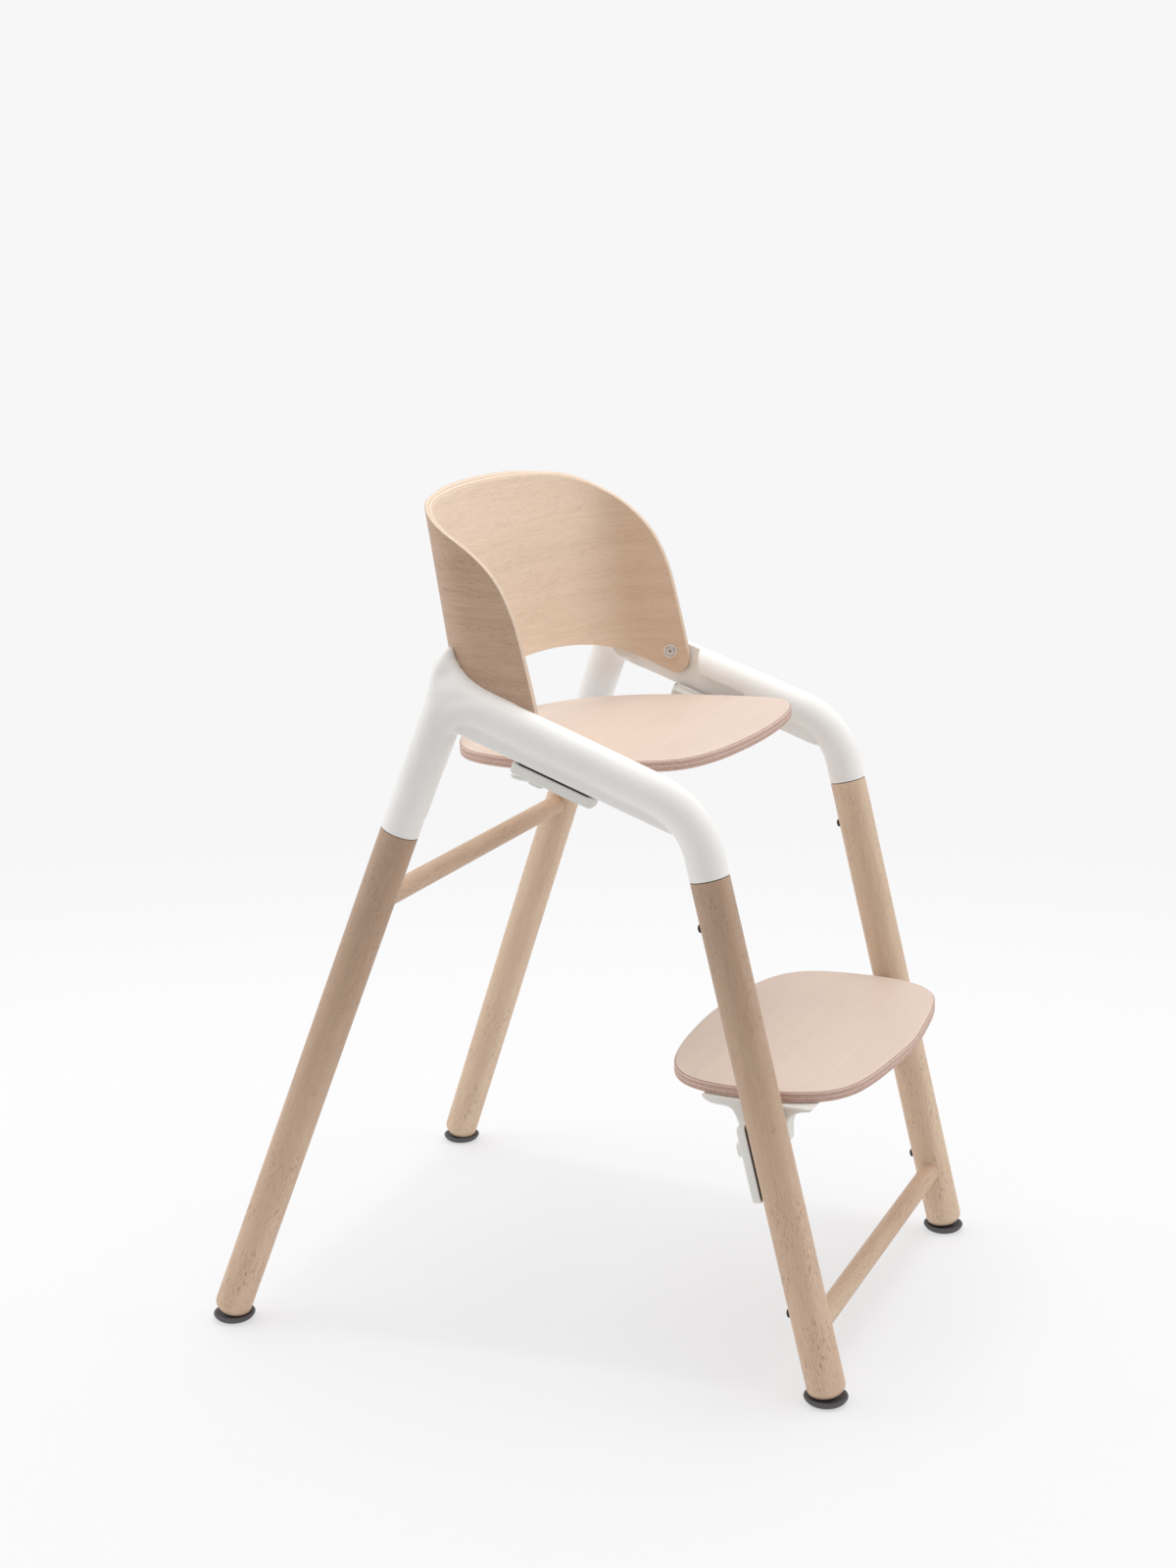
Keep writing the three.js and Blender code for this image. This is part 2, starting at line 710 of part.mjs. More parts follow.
function releaseButton(clamp) {
  const face = clampTop() - clamp.depth;
  const outline = pill(clamp.buttonWidth, clamp.buttonLength);
  const cap = slabZ(outline, face - clamp.buttonTip, face + clamp.buttonRoot, 0.8);
  const hollow = cylinderZ(3.3, face - 2.6, face + clamp.buttonRoot + 1, 20);
  return toGeometry(cut(solid(cap), hollow)).translate(0, clamp.buttonAt, 0);
}

function buttonSpring(clamp) {
  const face = clampTop() - clamp.depth;
  const top = face + clamp.buttonRoot + clamp.travel + 0.3;
  const length = clamp.buttonRoot + 2.2;
  const coil = new THREE.ExtrudeGeometry(circle(0.4), {
    steps: 24,
    curveSegments: 2,
    extrudePath: new Coil(2.4, length - 1, 3),
  });
  const placed = coil.translate(0, clamp.buttonAt, top - length + 0.5);
  return toGeometry(solid(placed));
}

// Screw from below, with its head's underside at z and its tip up at z + length
function plateScrew(z, length) {
  const head = cylinderZ(3.6, z - 2.2, z, 20);
  const shank = cylinderZ(SCREW_R, z - 1, z + length, 16);
  return toGeometry(join(head, shank));
}

function plateScrewBore(z, length) {
  const seatBore = cylinderZ(3.6 + GAP, z - 20, z + GAP, 20);
  const shankBore = cylinderZ(SCREW_R + GAP, z - 1, z + length + GAP, 16);
  return toGeometry(join(seatBore, shankBore));
}

function addScrews(group, name, places, z, length, frame) {
  for (const [where, x, y] of places) {
    const at = new THREE.Matrix4().makeTranslation(x, y, 0);
    addPair(group, `${name}_${where}`, plateScrew(z, length), 'steel', frame.clone().multiply(at));
  }
}

function smoothPlate(halfOutline) {
  const half = halfOutline.map(([x, y]) => new THREE.Vector3(x, y, 0));
  const other = half.slice(1, -1).map((p) => new THREE.Vector3(-p.x, p.y, 0)).reverse();
  const curve = new THREE.CatmullRomCurve3([...half, ...other], true, 'centripetal');
  const points = curve.getSpacedPoints(72).slice(0, -1);
  const shape = new THREE.Shape(points.map((p) => new THREE.Vector2(p.x, p.y)));
  return shape;
}

// Seat plate outline from the front middle to the rear middle, about the seat's own origin
const SEAT_OUTLINE = [
  [0, -133], [52, -130.8], [94, -125.5], [118, -119.5], [137, -111.5], [150, -102],
  [159, -87], [164.5, -62], [168, -24], [169, 10], [167.5, 40], [164, 62], [157, 84],
  [147, 105], [133, 124], [116, 138], [95, 150], [70, 160], [36, 169], [0, 172],
];
const FOOTREST_OUTLINE = [
  [0, -107], [30, -105.3], [66, -102], [100, -97.8], [128, -92], [148, -83.5],
  [163.5, -70.5], [173, -54], [179, -36], [181.5, -15], [182, 6], [181, 28], [177.5, 48],
  [170, 64.5], [160, 76], [147, 85], [132, 91.8], [112, 97.3], [80, 102.8], [40, 106.3], [0, 108],
];
const FOOTREST_Y = -218;
const SEAT_PAD_TOP = -SEAT_T - GAP;
const SEAT_SCREWS = [['front', 166, -34], ['rear', 166, 30]];
const SEAT_SCREW_Z = -16;
const SEAT_SCREW_LENGTH = 12;
const FOOTREST_SCREWS = [['front', 171, -45], ['rear', 171, 31]];
const FOOTREST_SCREW_Z = -15;
const FOOTREST_SCREW_LENGTH = 11;

const railFace = new THREE.Matrix4().makeTranslation(0, 0, -RAIL_DROP);
const seatClampFrame = armFrame.clone().multiply(railFace);
// On the leg the clamp sits behind: its Z points forward at the leg's rear face
const legFace = new THREE.Matrix4().makeBasis(
  new THREE.Vector3(1, 0, 0),
  new THREE.Vector3(0, 0, 1),
  new THREE.Vector3(0, -1, 0),
).setPosition(0, LEG_R, 0);
const footrestClampFrame = frontLegFrame.clone().multiply(legFace);

function buildPlate(group, name, outline, thickness, frame, screws, z, length) {
  const board = solid(slabZ(smoothPlate(outline), -thickness, 0, 1.2));
  const bores = screws.flatMap(([, x, y]) => {
    const shank = cylinderZ(SCREW_R + GAP, z, z + length + GAP, 16);
    return [x, -x].map((side) => shank.clone().translate(side, y, 0));
  });
  addPiece(group, name, toGeometry(cut(board, ...bores)), 'plywood', frame);
}

// Seat bracket: a block under the plate, a neck under the arm and the clamp bar
// Seat bracket: a pad under the plate, a neck to the clamp bar and a lip that
// covers the shoe on the inner side
function buildSeatBracket() {
  const side = new THREE.Shape();
  side.moveTo(53.5, SEAT_PAD_TOP);
  side.lineTo(52, -15);
  side.lineTo(47.5, -16.6);
  side.lineTo(10, -22.3);
  side.lineTo(-30, -30.5);
  side.lineTo(-39, -30.5);
  side.lineTo(-46, -25);
  side.lineTo(-49, SEAT_PAD_TOP);
  side.closePath();
  const pad = between(slabX(side, 150, 186, 2), seatFrame, seatClampFrame);
  const neck = block(-22, 2 - seatClamp.width / 2, -40, 36, clampTop() - seatClamp.depth + 1,
    clampTop() - 1);
  const lip = block(-RAIL_HALF - 3, -RAIL_HALF - 0.6, -39, 35, clampTop() - 3, 2);
  const bores = SEAT_SCREWS.map(([, x, y]) => {
    const bore = plateScrewBore(SEAT_SCREW_Z, SEAT_SCREW_LENGTH).translate(x, y, 0);
    return between(bore, seatFrame, seatClampFrame);
  });
  const bracket = cut(join(clampBar(seatClamp), neck, lip, pad), buttonPocket(seatClamp), ...bores);
  addPair(seat, 'seat_bracket', toGeometry(bracket), 'white', seatClampFrame);
}

// Footrest bracket: a trumpet-shaped block under the plate, a cheek inside the
// leg and the clamp bar behind it
function buildFootrestBracket() {
  const top = FOOTREST_Z - FOOTREST_T - GAP;
  const flare = new THREE.Shape();
  flare.moveTo(-173, top);
  flare.lineTo(-175.5, top - 4);
  flare.splineThru([
    new THREE.Vector2(-184, top - 7.5),
    new THREE.Vector2(-200, top - 9),
    new THREE.Vector2(-206, top - 15),
    new THREE.Vector2(-210, top - 25),
  ]);
  flare.lineTo(-211, 240);
  flare.lineTo(-226, 230);
  flare.lineTo(-256, 236);
  flare.lineTo(-256, 252);
  flare.splineThru([
    new THREE.Vector2(-259.5, 262),
    new THREE.Vector2(-268, top - 6),
    new THREE.Vector2(-278, top - 4),
  ]);
  flare.lineTo(-282, top);
  flare.closePath();
  const flareBlock = between(slabX(flare, 160, 186, 2), OBJECT, footrestClampFrame);
  const inner = 176 - FRONT_FOOT.x;
  const outer = 186 - FRONT_FOOT.x;
  const back = clampTop() - footrestClamp.depth;
  const { from, to } = footrestClamp;
  const cheek = block(inner, outer, from, to, back + 1, LEG_R - 1);
  const bridge = block(inner, 0, from + 3, to - 3, back + 1, clampTop() - 1);
  const frame = new THREE.Matrix4().makeTranslation(0, FOOTREST_Y, FOOTREST_Z);
  const bores = FOOTREST_SCREWS.map(([, x, y]) => {
    const bore = plateScrewBore(FOOTREST_SCREW_Z, FOOTREST_SCREW_LENGTH).translate(x, y, 0);
    return between(bore, frame, footrestClampFrame);
  });
  const whole = join(clampBar(footrestClamp), bridge, cheek, flareBlock);
  const groove = legCylinder(footrestClamp, SHOE_T + 2 * GAP);
  const bracket = cut(whole, groove, buttonPocket(footrestClamp), ...bores);
  addPair(footrest, 'footrest_bracket', toGeometry(bracket), 'white', footrestClampFrame);
}

function buildClampFittings(group, name, clamp, frame) {
  addPair(group, `${name}_glide_shoe`, glideShoe(clamp), 'dark', frame);
  addPair(group, `${name}_release_button`, releaseButton(clamp), 'white', frame);
  addPair(group, `${name}_button_spring`, buttonSpring(clamp), 'steel', frame);
}

buildFrontLeg();
buildRearLeg();
buildStuds();
buildFootPad('front_foot_pad', FRONT_FOOT, frontLegFrame, FRONT_LEG_LENGTH);
buildFootPad('rear_foot_pad', REAR_FOOT, rearLegFrame, REAR_LEG_LENGTH);
buildRung('front_rung', frontRungAt, frontLegFrame, FRONT_LEG_LENGTH);
buildRung('rear_rung', rearRungAt, rearLegFrame, REAR_LEG_LENGTH);
buildSideFrame();
buildBackrest();
buildBackrestFixings();

buildPlate(seat, 'seat_plate', SEAT_OUTLINE, SEAT_T, seatFrame,
  SEAT_SCREWS, SEAT_SCREW_Z, SEAT_SCREW_LENGTH);
buildSeatBracket();
buildClampFittings(seat, 'seat', seatClamp, seatClampFrame);
addScrews(seat, 'seat_screw', SEAT_SCREWS, SEAT_SCREW_Z, SEAT_SCREW_LENGTH, seatFrame);

const footrestFrame = new THREE.Matrix4().makeTranslation(0, FOOTREST_Y, FOOTREST_Z);
buildPlate(footrest, 'footrest_plate', FOOTREST_OUTLINE, FOOTREST_T, footrestFrame,
  FOOTREST_SCREWS, FOOTREST_SCREW_Z, FOOTREST_SCREW_LENGTH);
buildFootrestBracket();
buildClampFittings(footrest, 'footrest', footrestClamp, footrestClampFrame);
addScrews(footrest, 'footrest_screw', FOOTREST_SCREWS, FOOTREST_SCREW_Z,
  FOOTREST_SCREW_LENGTH, footrestFrame);

export default chair;
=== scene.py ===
import math

import bmesh
import bpy
import numpy as np
from mathutils import Matrix, Vector
from mathutils.geometry import delaunay_2d_cdt


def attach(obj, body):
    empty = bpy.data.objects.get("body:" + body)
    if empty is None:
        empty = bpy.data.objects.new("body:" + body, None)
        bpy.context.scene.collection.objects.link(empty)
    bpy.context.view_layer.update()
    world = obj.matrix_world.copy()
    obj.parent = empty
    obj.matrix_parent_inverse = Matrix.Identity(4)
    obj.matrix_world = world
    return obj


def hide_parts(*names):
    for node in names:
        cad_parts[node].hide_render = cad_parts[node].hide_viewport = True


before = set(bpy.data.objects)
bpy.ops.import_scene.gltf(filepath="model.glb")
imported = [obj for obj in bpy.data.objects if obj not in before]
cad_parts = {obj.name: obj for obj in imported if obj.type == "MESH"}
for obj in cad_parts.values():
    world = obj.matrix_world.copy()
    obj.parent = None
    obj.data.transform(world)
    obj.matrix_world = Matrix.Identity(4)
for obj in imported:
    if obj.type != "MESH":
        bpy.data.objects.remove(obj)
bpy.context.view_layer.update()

MM = 0.001
MIRROR = Matrix.Diagonal((-1, 1, 1, 1))

# Dimensions of the chair in millimetres, the same as the frame's
GAP = 0.3
LEG_R = 18.3
BALL_HEIGHT = 11.5
RUNG_R = 10.3
FRONT_RUNG_Z = 68.2
REAR_RUNG_Z = 436.5
RUNG_SHORT = 10  # how far short of the legs' middle the rungs end
BALL_Z = 15.7
FRONT_FOOT = Vector((206.5, -301.8, BALL_Z))
FRONT_TOP = Vector((206.5, -191.8, 489))
REAR_FOOT = Vector((255.1, 301.8, BALL_Z))
REAR_TOP = Vector((211.5, 116.3, 507.5))
ARM_REAR = Vector((198.2, 62, 636.9))
ARM_CORNER = Vector((206.5, -178.2, 547.5))
SHOULDER = Vector((203.3, 81.4, 600))
ARM_BEND_R = 75
ELBOW = Vector((199, 66.8, 638.7))
ELBOW_BEND_R = 42
HORN_LOW_Z = 618
HORN_FRONT_Y = 12
SHELL_HALF = 195.5
SHELL_T = 8
SHELL_DEPTH = 74
SHELL_POWER = 2.6
SHELL_STRAIGHT_Y = 20.8
SHELL_BASE_Z = 600
SHELL_SLOPE = math.tan(math.radians(8.83))
SHELL_TOP_Z = 820
POCKET_FRONT_Y = -35
BACK_SCREW = Vector((0, -1.6, 618.6))
BACK_SCREW_END = 208
SEAT_TOP = Vector((0, -40, 577.5))
SEAT_TILT = math.radians(-2.39)
SEAT_T = 10.7
FOOTREST_TOP = Vector((0, -218, 285))
FOOTREST_T = 10.5
RAIL_HALF = 10
RAIL_DROP = 27
RAIL_FRONT = -132
RAIL_REAR = 108
RAIL_ORIGIN = 136.8  # from the arm's corner, along the arm
SLOT_MOUTH = 5
SLOT_WIDE = 9
SLOT_LIP = 3
SLOT_DEEP = 6.5
LEG_TRACK = (78, 435)  # both ends of the slots, along the leg and along the arm
RAIL_TRACK = (96, -106)
TRACK_STOPS = {"lower": 72, "upper": 441}
SPRING_HOLLOW_R = 3.3
SPRING_HOLLOW_DEPTH = 2.6  # past the clamp's face, toward the button's tip

SEAT_OUTLINE = [
    (0, -133), (52, -130.8), (94, -125.5), (118, -119.5), (137, -111.5), (150, -102),
    (159, -87), (164.5, -62), (168, -24), (169, 10), (167.5, 40), (164, 62), (157, 84),
    (147, 105), (133, 124), (116, 138), (95, 150), (70, 160), (36, 169), (0, 172),
]
FOOTREST_OUTLINE = [
    (0, -107), (30, -105.3), (66, -102), (100, -97.8), (128, -92), (148, -83.5),
    (163.5, -70.5), (173, -54), (179, -36), (181.5, -15), (182, 6), (181, 28), (177.5, 48),
    (170, 64.5), (160, 76), (147, 85), (132, 91.8), (112, 97.3), (80, 102.8), (40, 106.3), (0, 108),
]


# Local frames, with their places in millimetres
def basis(x, y, z, origin):
    columns = Matrix((x, y, z)).transposed().to_4x4()
    return Matrix.Translation(origin) @ columns


def frame_at(origin, z_axis):
    z = z_axis.normalized()
    y = z.cross(Vector((1, 0, 0))).normalized()
    return basis(y.cross(z), y, z, origin)


def in_metres(matrix):
    scaled = matrix.copy()
    scaled.translation = matrix.translation * MM
    return scaled


front_leg_frame = frame_at(FRONT_FOOT, FRONT_TOP - FRONT_FOOT)
rear_leg_frame = frame_at(REAR_FOOT, REAR_TOP - REAR_FOOT)
FRONT_LENGTH = (FRONT_TOP - FRONT_FOOT).length
REAR_LENGTH = (REAR_TOP - REAR_FOOT).length
arm_axis = (ARM_REAR - ARM_CORNER).normalized()
arm_up = Vector((1, 0, 0)).cross(arm_axis)
arm_frame = frame_at(ARM_CORNER + RAIL_ORIGIN * arm_axis, arm_up)
seat_frame = Matrix.Translation(SEAT_TOP) @ Matrix.Rotation(SEAT_TILT, 4, "X")
footrest_frame = Matrix.Translation(FOOTREST_TOP)
seat_clamp_frame = arm_frame @ Matrix.Translation((0, 0, -RAIL_DROP))
leg_face = basis((1, 0, 0), (0, 0, 1), (0, -1, 0), (0, LEG_R, 0))
footrest_clamp_frame = front_leg_frame @ leg_face


# Materials
class Graph:
    """A procedural material or world, built node by node."""

    def __init__(self, name, kind="materials"):
        self.owner = getattr(bpy.data, kind).new(name)
        self.owner.use_nodes = True
        self.tree = self.owner.node_tree
        self.tree.nodes.clear()
        self.coordinates = self.node("ShaderNodeTexCoord")

    def node(self, kind, inputs=None, **settings):
        node = self.tree.nodes.new(kind)
        for key, value in settings.items():
            setattr(node, key, value)
        for key, value in (inputs or {}).items():
            if isinstance(value, bpy.types.NodeSocket):
                self.tree.links.new(value, node.inputs[key])
            else:
                node.inputs[key].default_value = value
        return node

    def place(self, source="Object"):
        return self.coordinates.outputs[source]

    def stretched(self, vector, scale, offset=(0, 0, 0)):
        inputs = {"Vector": vector, "Scale": scale, "Location": offset}
        return self.node("ShaderNodeMapping", inputs).outputs["Vector"]

    def noise(self, vector, scale, detail=2.0, roughness=0.5, offset=(0, 0, 0)):
        inputs = {
            "Vector": self.stretched(vector, scale, offset),
            "Scale": 1.0,
            "Detail": detail,
            "Roughness": roughness,
        }
        return self.node("ShaderNodeTexNoise", inputs).outputs["Fac"]

    def math(self, operation, first, second=0.0):
        node = self.node("ShaderNodeMath", {0: first, 1: second}, operation=operation)
        return node.outputs[0]

    def split(self, vector):
        return self.node("ShaderNodeSeparateXYZ", {0: vector}).outputs

    def spread(self, value, low, high, to_low=0.0, to_high=1.0, shape="SMOOTHSTEP"):
        inputs = {
            "Value": value,
            "From Min": low,
            "From Max": high,
            "To Min": to_low,
            "To Max": to_high,
        }
        node = self.node("ShaderNodeMapRange", inputs, interpolation_type=shape)
        return node.outputs["Result"]

    def mix(self, factor, first, second):
        inputs = {0: factor, 6: first, 7: second}
        return self.node("ShaderNodeMix", inputs, data_type="RGBA").outputs[2]

    def bump(self, height, distance, strength):
        inputs = {"Height": height, "Distance": distance, "Strength": strength}
        return self.node("ShaderNodeBump", inputs).outputs["Normal"]

    def finish(self, **inputs):
        named = {key.replace("_", " "): value for key, value in inputs.items()}
        shader = self.node("ShaderNodeBsdfPrincipled", named)
        self.node("ShaderNodeOutputMaterial", {"Surface": shader.outputs["BSDF"]})
        return self.owner


def colour(red, green, blue):
    """A linear colour from the usual 0 to 255 values."""
    def linear(value):
        share = value / 255
        return share / 12.92 if share <= 0.04045 else ((share + 0.055) / 1.055) ** 2.4

    return (linear(red), linear(green), linear(blue), 1.0)


def wood(name, tones, place="Object", along="Z", streak=0.5, fibre=0.2, spot=0.6, painted_shade=None):
    """Lacquered beech: growth layers, fine fibres and short dark flecks along the grain.

    The last argument, if given, is an axis, a start and an end along it and the strength of a darker
    tone painted along it as shade.
    """
    light, dark, fleck = tones
    g = Graph(name)
    where = g.place(place)

    def scaled(across, long, third=None):
        third = across if third is None else third
        return (long, across, third) if along == "X" else (across, third, long)

    warp = g.noise(where, scaled(14, 2.2), 2.0)
    amount = g.math("MULTIPLY", g.math("SUBTRACT", warp, 0.5), 0.05)
    shift = g.node("ShaderNodeCombineXYZ", {axis: amount for axis in "XYZ" if axis != along})
    drift = {0: where, 1: shift.outputs[0]}
    bent = g.node("ShaderNodeVectorMath", drift, operation="ADD").outputs[0]
    layers = g.noise(bent, scaled(120, 2.4, 34), 3.0, 0.55)
    tone = g.noise(where, scaled(9, 2.5), 2.0, offset=(3.1, 1.7, 0.4))
    fibres = g.noise(bent, scaled(1500, 26), 2.0, 0.6)
    pores = g.noise(where, scaled(1250, 165), 1.0, 0.5, offset=(0.7, 2.3, 1.1))
    clusters = g.noise(where, scaled(42, 16), 2.0, offset=(5.2, 0.3, 2.9))
    ground = g.mix(g.spread(layers, 0.32, 0.70, 0.0, streak), light, dark)
    toned = g.mix(g.spread(tone, 0.35, 0.70, 0.0, 0.4), ground, dark)
    fibred = g.mix(g.spread(fibres, 0.42, 0.72, 0.0, fibre), toned, fleck)
    dashes = g.spread(pores, 0.58, 0.68)
    spots = g.math("MULTIPLY", dashes, g.spread(clusters, 0.46, 0.60, 0.15, 1.0))
    spotted = g.mix(g.math("MULTIPLY", spots, spot), fibred, fleck)
    coloured = spotted
    # Painted shade: the tone is ramped darker along one axis, where the piece lies in shade.
    if painted_shade:
        axis, start, end, strength = painted_shade
        coloured = g.mix(g.spread(g.split(where)[axis], start, end, 0.0, strength), spotted, fleck)
    rough = g.spread(fibres, 0.3, 0.7, 0.46, 0.58)
    height = g.math("SUBTRACT", g.math("MULTIPLY", fibres, 0.6), g.math("MULTIPLY", spots, 0.8))
    normal = g.bump(height, 0.00008, 0.5)
    return g.finish(Base_Color=coloured, Roughness=rough, Normal=normal, Specular_IOR_Level=0.38)


def plywood_edge(name, tones, thickness, layers):
    """Cut edge of plywood: alternating veneers with thin darker glue lines."""
    light, dark, line = tones
    g = Graph(name)
    where = g.place("Object")
    wobble = g.noise(where, (40, 40, 160), 2.0)
    height = g.math("ADD", g.split(where)["Z"], g.math("MULTIPLY", wobble, 0.0006))
    turns = g.math("MULTIPLY", height, layers * math.pi / (thickness * MM))
    wave = g.math("SINE", turns)
    lines = g.math("ABSOLUTE", wave)
    veneer = g.spread(wave, -0.4, 0.4)
    grain = g.noise(where, (420, 420, 900), 3.0, 0.6)
    base = g.mix(veneer, light, dark)
    glued = g.mix(g.spread(lines, 0.0, 0.45, 0.9, 0.0), base, line)
    worn = g.mix(g.spread(grain, 0.4, 0.75, 0.0, 0.3), glued, line)
    normal = g.bump(g.math("ADD", lines, grain), 0.00012, 0.4)
    rough = g.spread(grain, 0.3, 0.7, 0.5, 0.68)
    return g.finish(Base_Color=worn, Roughness=rough, Normal=normal, Specular_IOR_Level=0.3)


def shell_edge(name, tones):
    """Edge of the bent backrest, with its veneers across the thickness."""
    light, dark, line = tones
    g = Graph(name)
    depth = g.node("ShaderNodeAttribute", attribute_name="depth").outputs["Fac"]
    where = g.place("Object")
    wobble = g.noise(where, (60, 60, 60), 2.0)
    turns = g.math("MULTIPLY", g.math("ADD", depth, g.math("MULTIPLY", wobble, 0.05)), 5 * math.pi)
    wave = g.math("SINE", turns)
    lines = g.math("ABSOLUTE", wave)
    grain = g.noise(where, (500, 500, 500), 3.0, 0.6)
    base = g.mix(g.spread(wave, -0.4, 0.4), light, dark)
    glued = g.mix(g.spread(lines, 0.0, 0.3, 0.45, 0.0), base, line)
    worn = g.mix(g.spread(grain, 0.4, 0.75, 0.0, 0.25), glued, line)
    normal = g.bump(g.math("ADD", lines, grain), 0.0001, 0.35)
    return g.finish(Base_Color=worn, Roughness=0.55, Normal=normal, Specular_IOR_Level=0.3)


def paint(name, base, shade, roughness, grain_scale, depth):
    """Satin powder coat or moulded plastic with a fine orange-peel surface."""
    g = Graph(name)
    where = g.place("Object")
    cloud = g.noise(where, (18, 18, 18), 2.0)
    peel = g.noise(where, (grain_scale, grain_scale, grain_scale), 2.0, 0.55)
    coloured = g.mix(g.spread(cloud, 0.35, 0.7, 0.0, 0.5), base, shade)
    rough = g.spread(peel, 0.3, 0.7, roughness - 0.05, roughness + 0.06)
    normal = g.bump(peel, depth, 0.35)
    return g.finish(Base_Color=coloured, Roughness=rough, Normal=normal, Specular_IOR_Level=0.32)


def metal(name, base):
    """Turned steel: fine rings round the local X axis, slight scuffs, a painted highlight ring near the
    rim, painted shade in the groove and centre hole.
    """
    g = Graph(name)
    where = g.place("Object")
    scuffs = g.noise(where, (900, 900, 900), 3.0, 0.6)
    y, z = g.split(where)["Y"], g.split(where)["Z"]
    radius = g.math("SQRT", g.math("ADD", g.math("MULTIPLY", y, y), g.math("MULTIPLY", z, z)))
    rings = g.math("SINE", g.math("MULTIPLY", radius, 2 * math.pi / 0.0013))
    scuffed = g.mix(g.spread(scuffs, 0.35, 0.7, 0.0, 0.25), base, colour(170, 168, 170))
    ringed = g.mix(g.spread(rings, -0.4, 0.8, 0.0, 0.6), scuffed, colour(150, 147, 147))
    # Painted highlight: a white ring beyond about 6 mm radius.
    rim_highlight = g.mix(g.spread(radius, 0.0058, 0.0060), ringed, colour(255, 255, 255))
    # Painted shade: a dark band over the groove, from about 5.1 to 5.9 mm radius.
    inner = g.spread(radius, 0.0051, 0.0053)
    outer = g.spread(radius, 0.0057, 0.0059, 1.0, 0.0)
    groove_shade = g.mix(g.math("MULTIPLY", inner, outer), rim_highlight, colour(92, 90, 90))
    # Painted shade: the centre hole, inside about 1.1 mm radius, darkened.
    coloured = g.mix(g.spread(radius, 0.0009, 0.0013, 1.0, 0.0), groove_shade, colour(60, 58, 58))
    rough = g.spread(scuffs, 0.3, 0.7, 0.24, 0.4)
    normal = g.bump(g.math("ADD", g.math("MULTIPLY", rings, 0.5), scuffs), 0.00006, 0.5)
    return g.finish(Base_Color=coloured, Roughness=rough, Normal=normal, Metallic=1.0)


LEG_TONES = (colour(222, 197, 172), colour(203, 173, 146), colour(120, 86, 62))
# Painted shade: darker leg tones for the right-hand legs, which stand in shade.
SHADED_LEG_TONES = (colour(218, 190, 165), colour(199, 168, 142), colour(112, 78, 56))
RUNG_TONES = (colour(208, 180, 154), colour(188, 156, 130), colour(124, 90, 66))
BACK_TONES = (colour(238, 215, 193), colour(223, 197, 171), colour(160, 126, 100))
# Painted shade: the backrest's outer face takes darker tones than its inner face, for the shade it lies
# in.
SHADED_BACK_OUTER_TONES = (colour(207, 177, 153), colour(187, 154, 130), colour(126, 92, 70))
PLATE_TONES = (colour(217, 198, 183), colour(204, 182, 171), colour(164, 132, 116))
EDGE_TONES = (colour(222, 194, 181), colour(206, 173, 159), colour(108, 68, 56))
BACK_EDGE_TONES = (colour(232, 212, 193), colour(214, 190, 167), colour(158, 126, 102))

beech = wood("beech", LEG_TONES, streak=0.5, fibre=0.18, spot=0.5)
# Painted shade: a darker copy of the beech for the right-hand legs, ramped darker still towards their
# tops.
shaded_beech = wood(
    "beech_painted_shade", SHADED_LEG_TONES, streak=0.5, fibre=0.18, spot=0.6, painted_shade=("Z", 0.05, 0.5, 0.37),
)
beech_cross = wood("beech_rung", RUNG_TONES, along="X", streak=0.5, fibre=0.2, spot=0.4)
# Painted shade: the inner face is darker from 0.17 to 0.23 m of unrolled run on the +X side.
shell_face = wood(
    "backrest_face", BACK_TONES, "UV", "X", 0.5, 0.2, 0.25, painted_shade=("X", 0.17, 0.23, 0.2),
)
# Painted shade: darker copy of the veneer for the backrest's outer face.
shaded_shell_back = wood("backrest_outer_painted_shade", SHADED_BACK_OUTER_TONES, "UV", "X", streak=0.5, fibre=0.25, spot=0.35)
plate_face = wood("plate_face", PLATE_TONES, along="X", streak=0.22, fibre=0.06, spot=0.15)
seat_edge = plywood_edge("seat_edge", EDGE_TONES, SEAT_T, 5)
footrest_edge = plywood_edge("footrest_edge", EDGE_TONES, FOOTREST_T, 5)
rim = shell_edge("backrest_edge", BACK_EDGE_TONES)
white = paint("white_coat", colour(244, 242, 239), colour(239, 237, 234), 0.5, 700, 0.00004)
white_moulded = paint("white_moulded", colour(232, 231, 226), colour(226, 225, 220), 0.5, 1100, 0.00003)
black = paint("dark_moulded", colour(58, 52, 48), colour(48, 44, 41), 0.6, 1400, 0.00004)
rubber = paint("pad_rubber", colour(90, 88, 90), colour(78, 76, 78), 0.62, 1300, 0.00006)
steel = metal("turned_steel", colour(240, 238, 236))


# Mesh building
def to_mesh(name, points, faces, kinds=None):
    mesh = bpy.data.meshes.new(name)
    mesh.from_pydata([tuple(c * MM for c in p) for p in points], [], faces)
    if kinds is not None:
        mesh.polygons.foreach_set("material_index", kinds)
    mesh.update()
    return mesh


def mirrored(mesh, name):
    copy = mesh.copy()
    copy.name = name
    copy.transform(MIRROR)
    copy.flip_normals()
    return copy


def smooth(mesh, angle):
    mesh.shade_smooth()
    mesh.set_sharp_from_angle(angle=math.radians(angle))


def add_piece(name, mesh, matrix, body, materials, nodes, angle=35):
    for material in materials:
        mesh.materials.append(material)
    smooth(mesh, angle)
    piece = bpy.data.objects.new(name, mesh)
    bpy.context.scene.collection.objects.link(piece)
    piece.matrix_world = in_metres(matrix)
    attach(piece, body)
    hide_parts(*nodes)


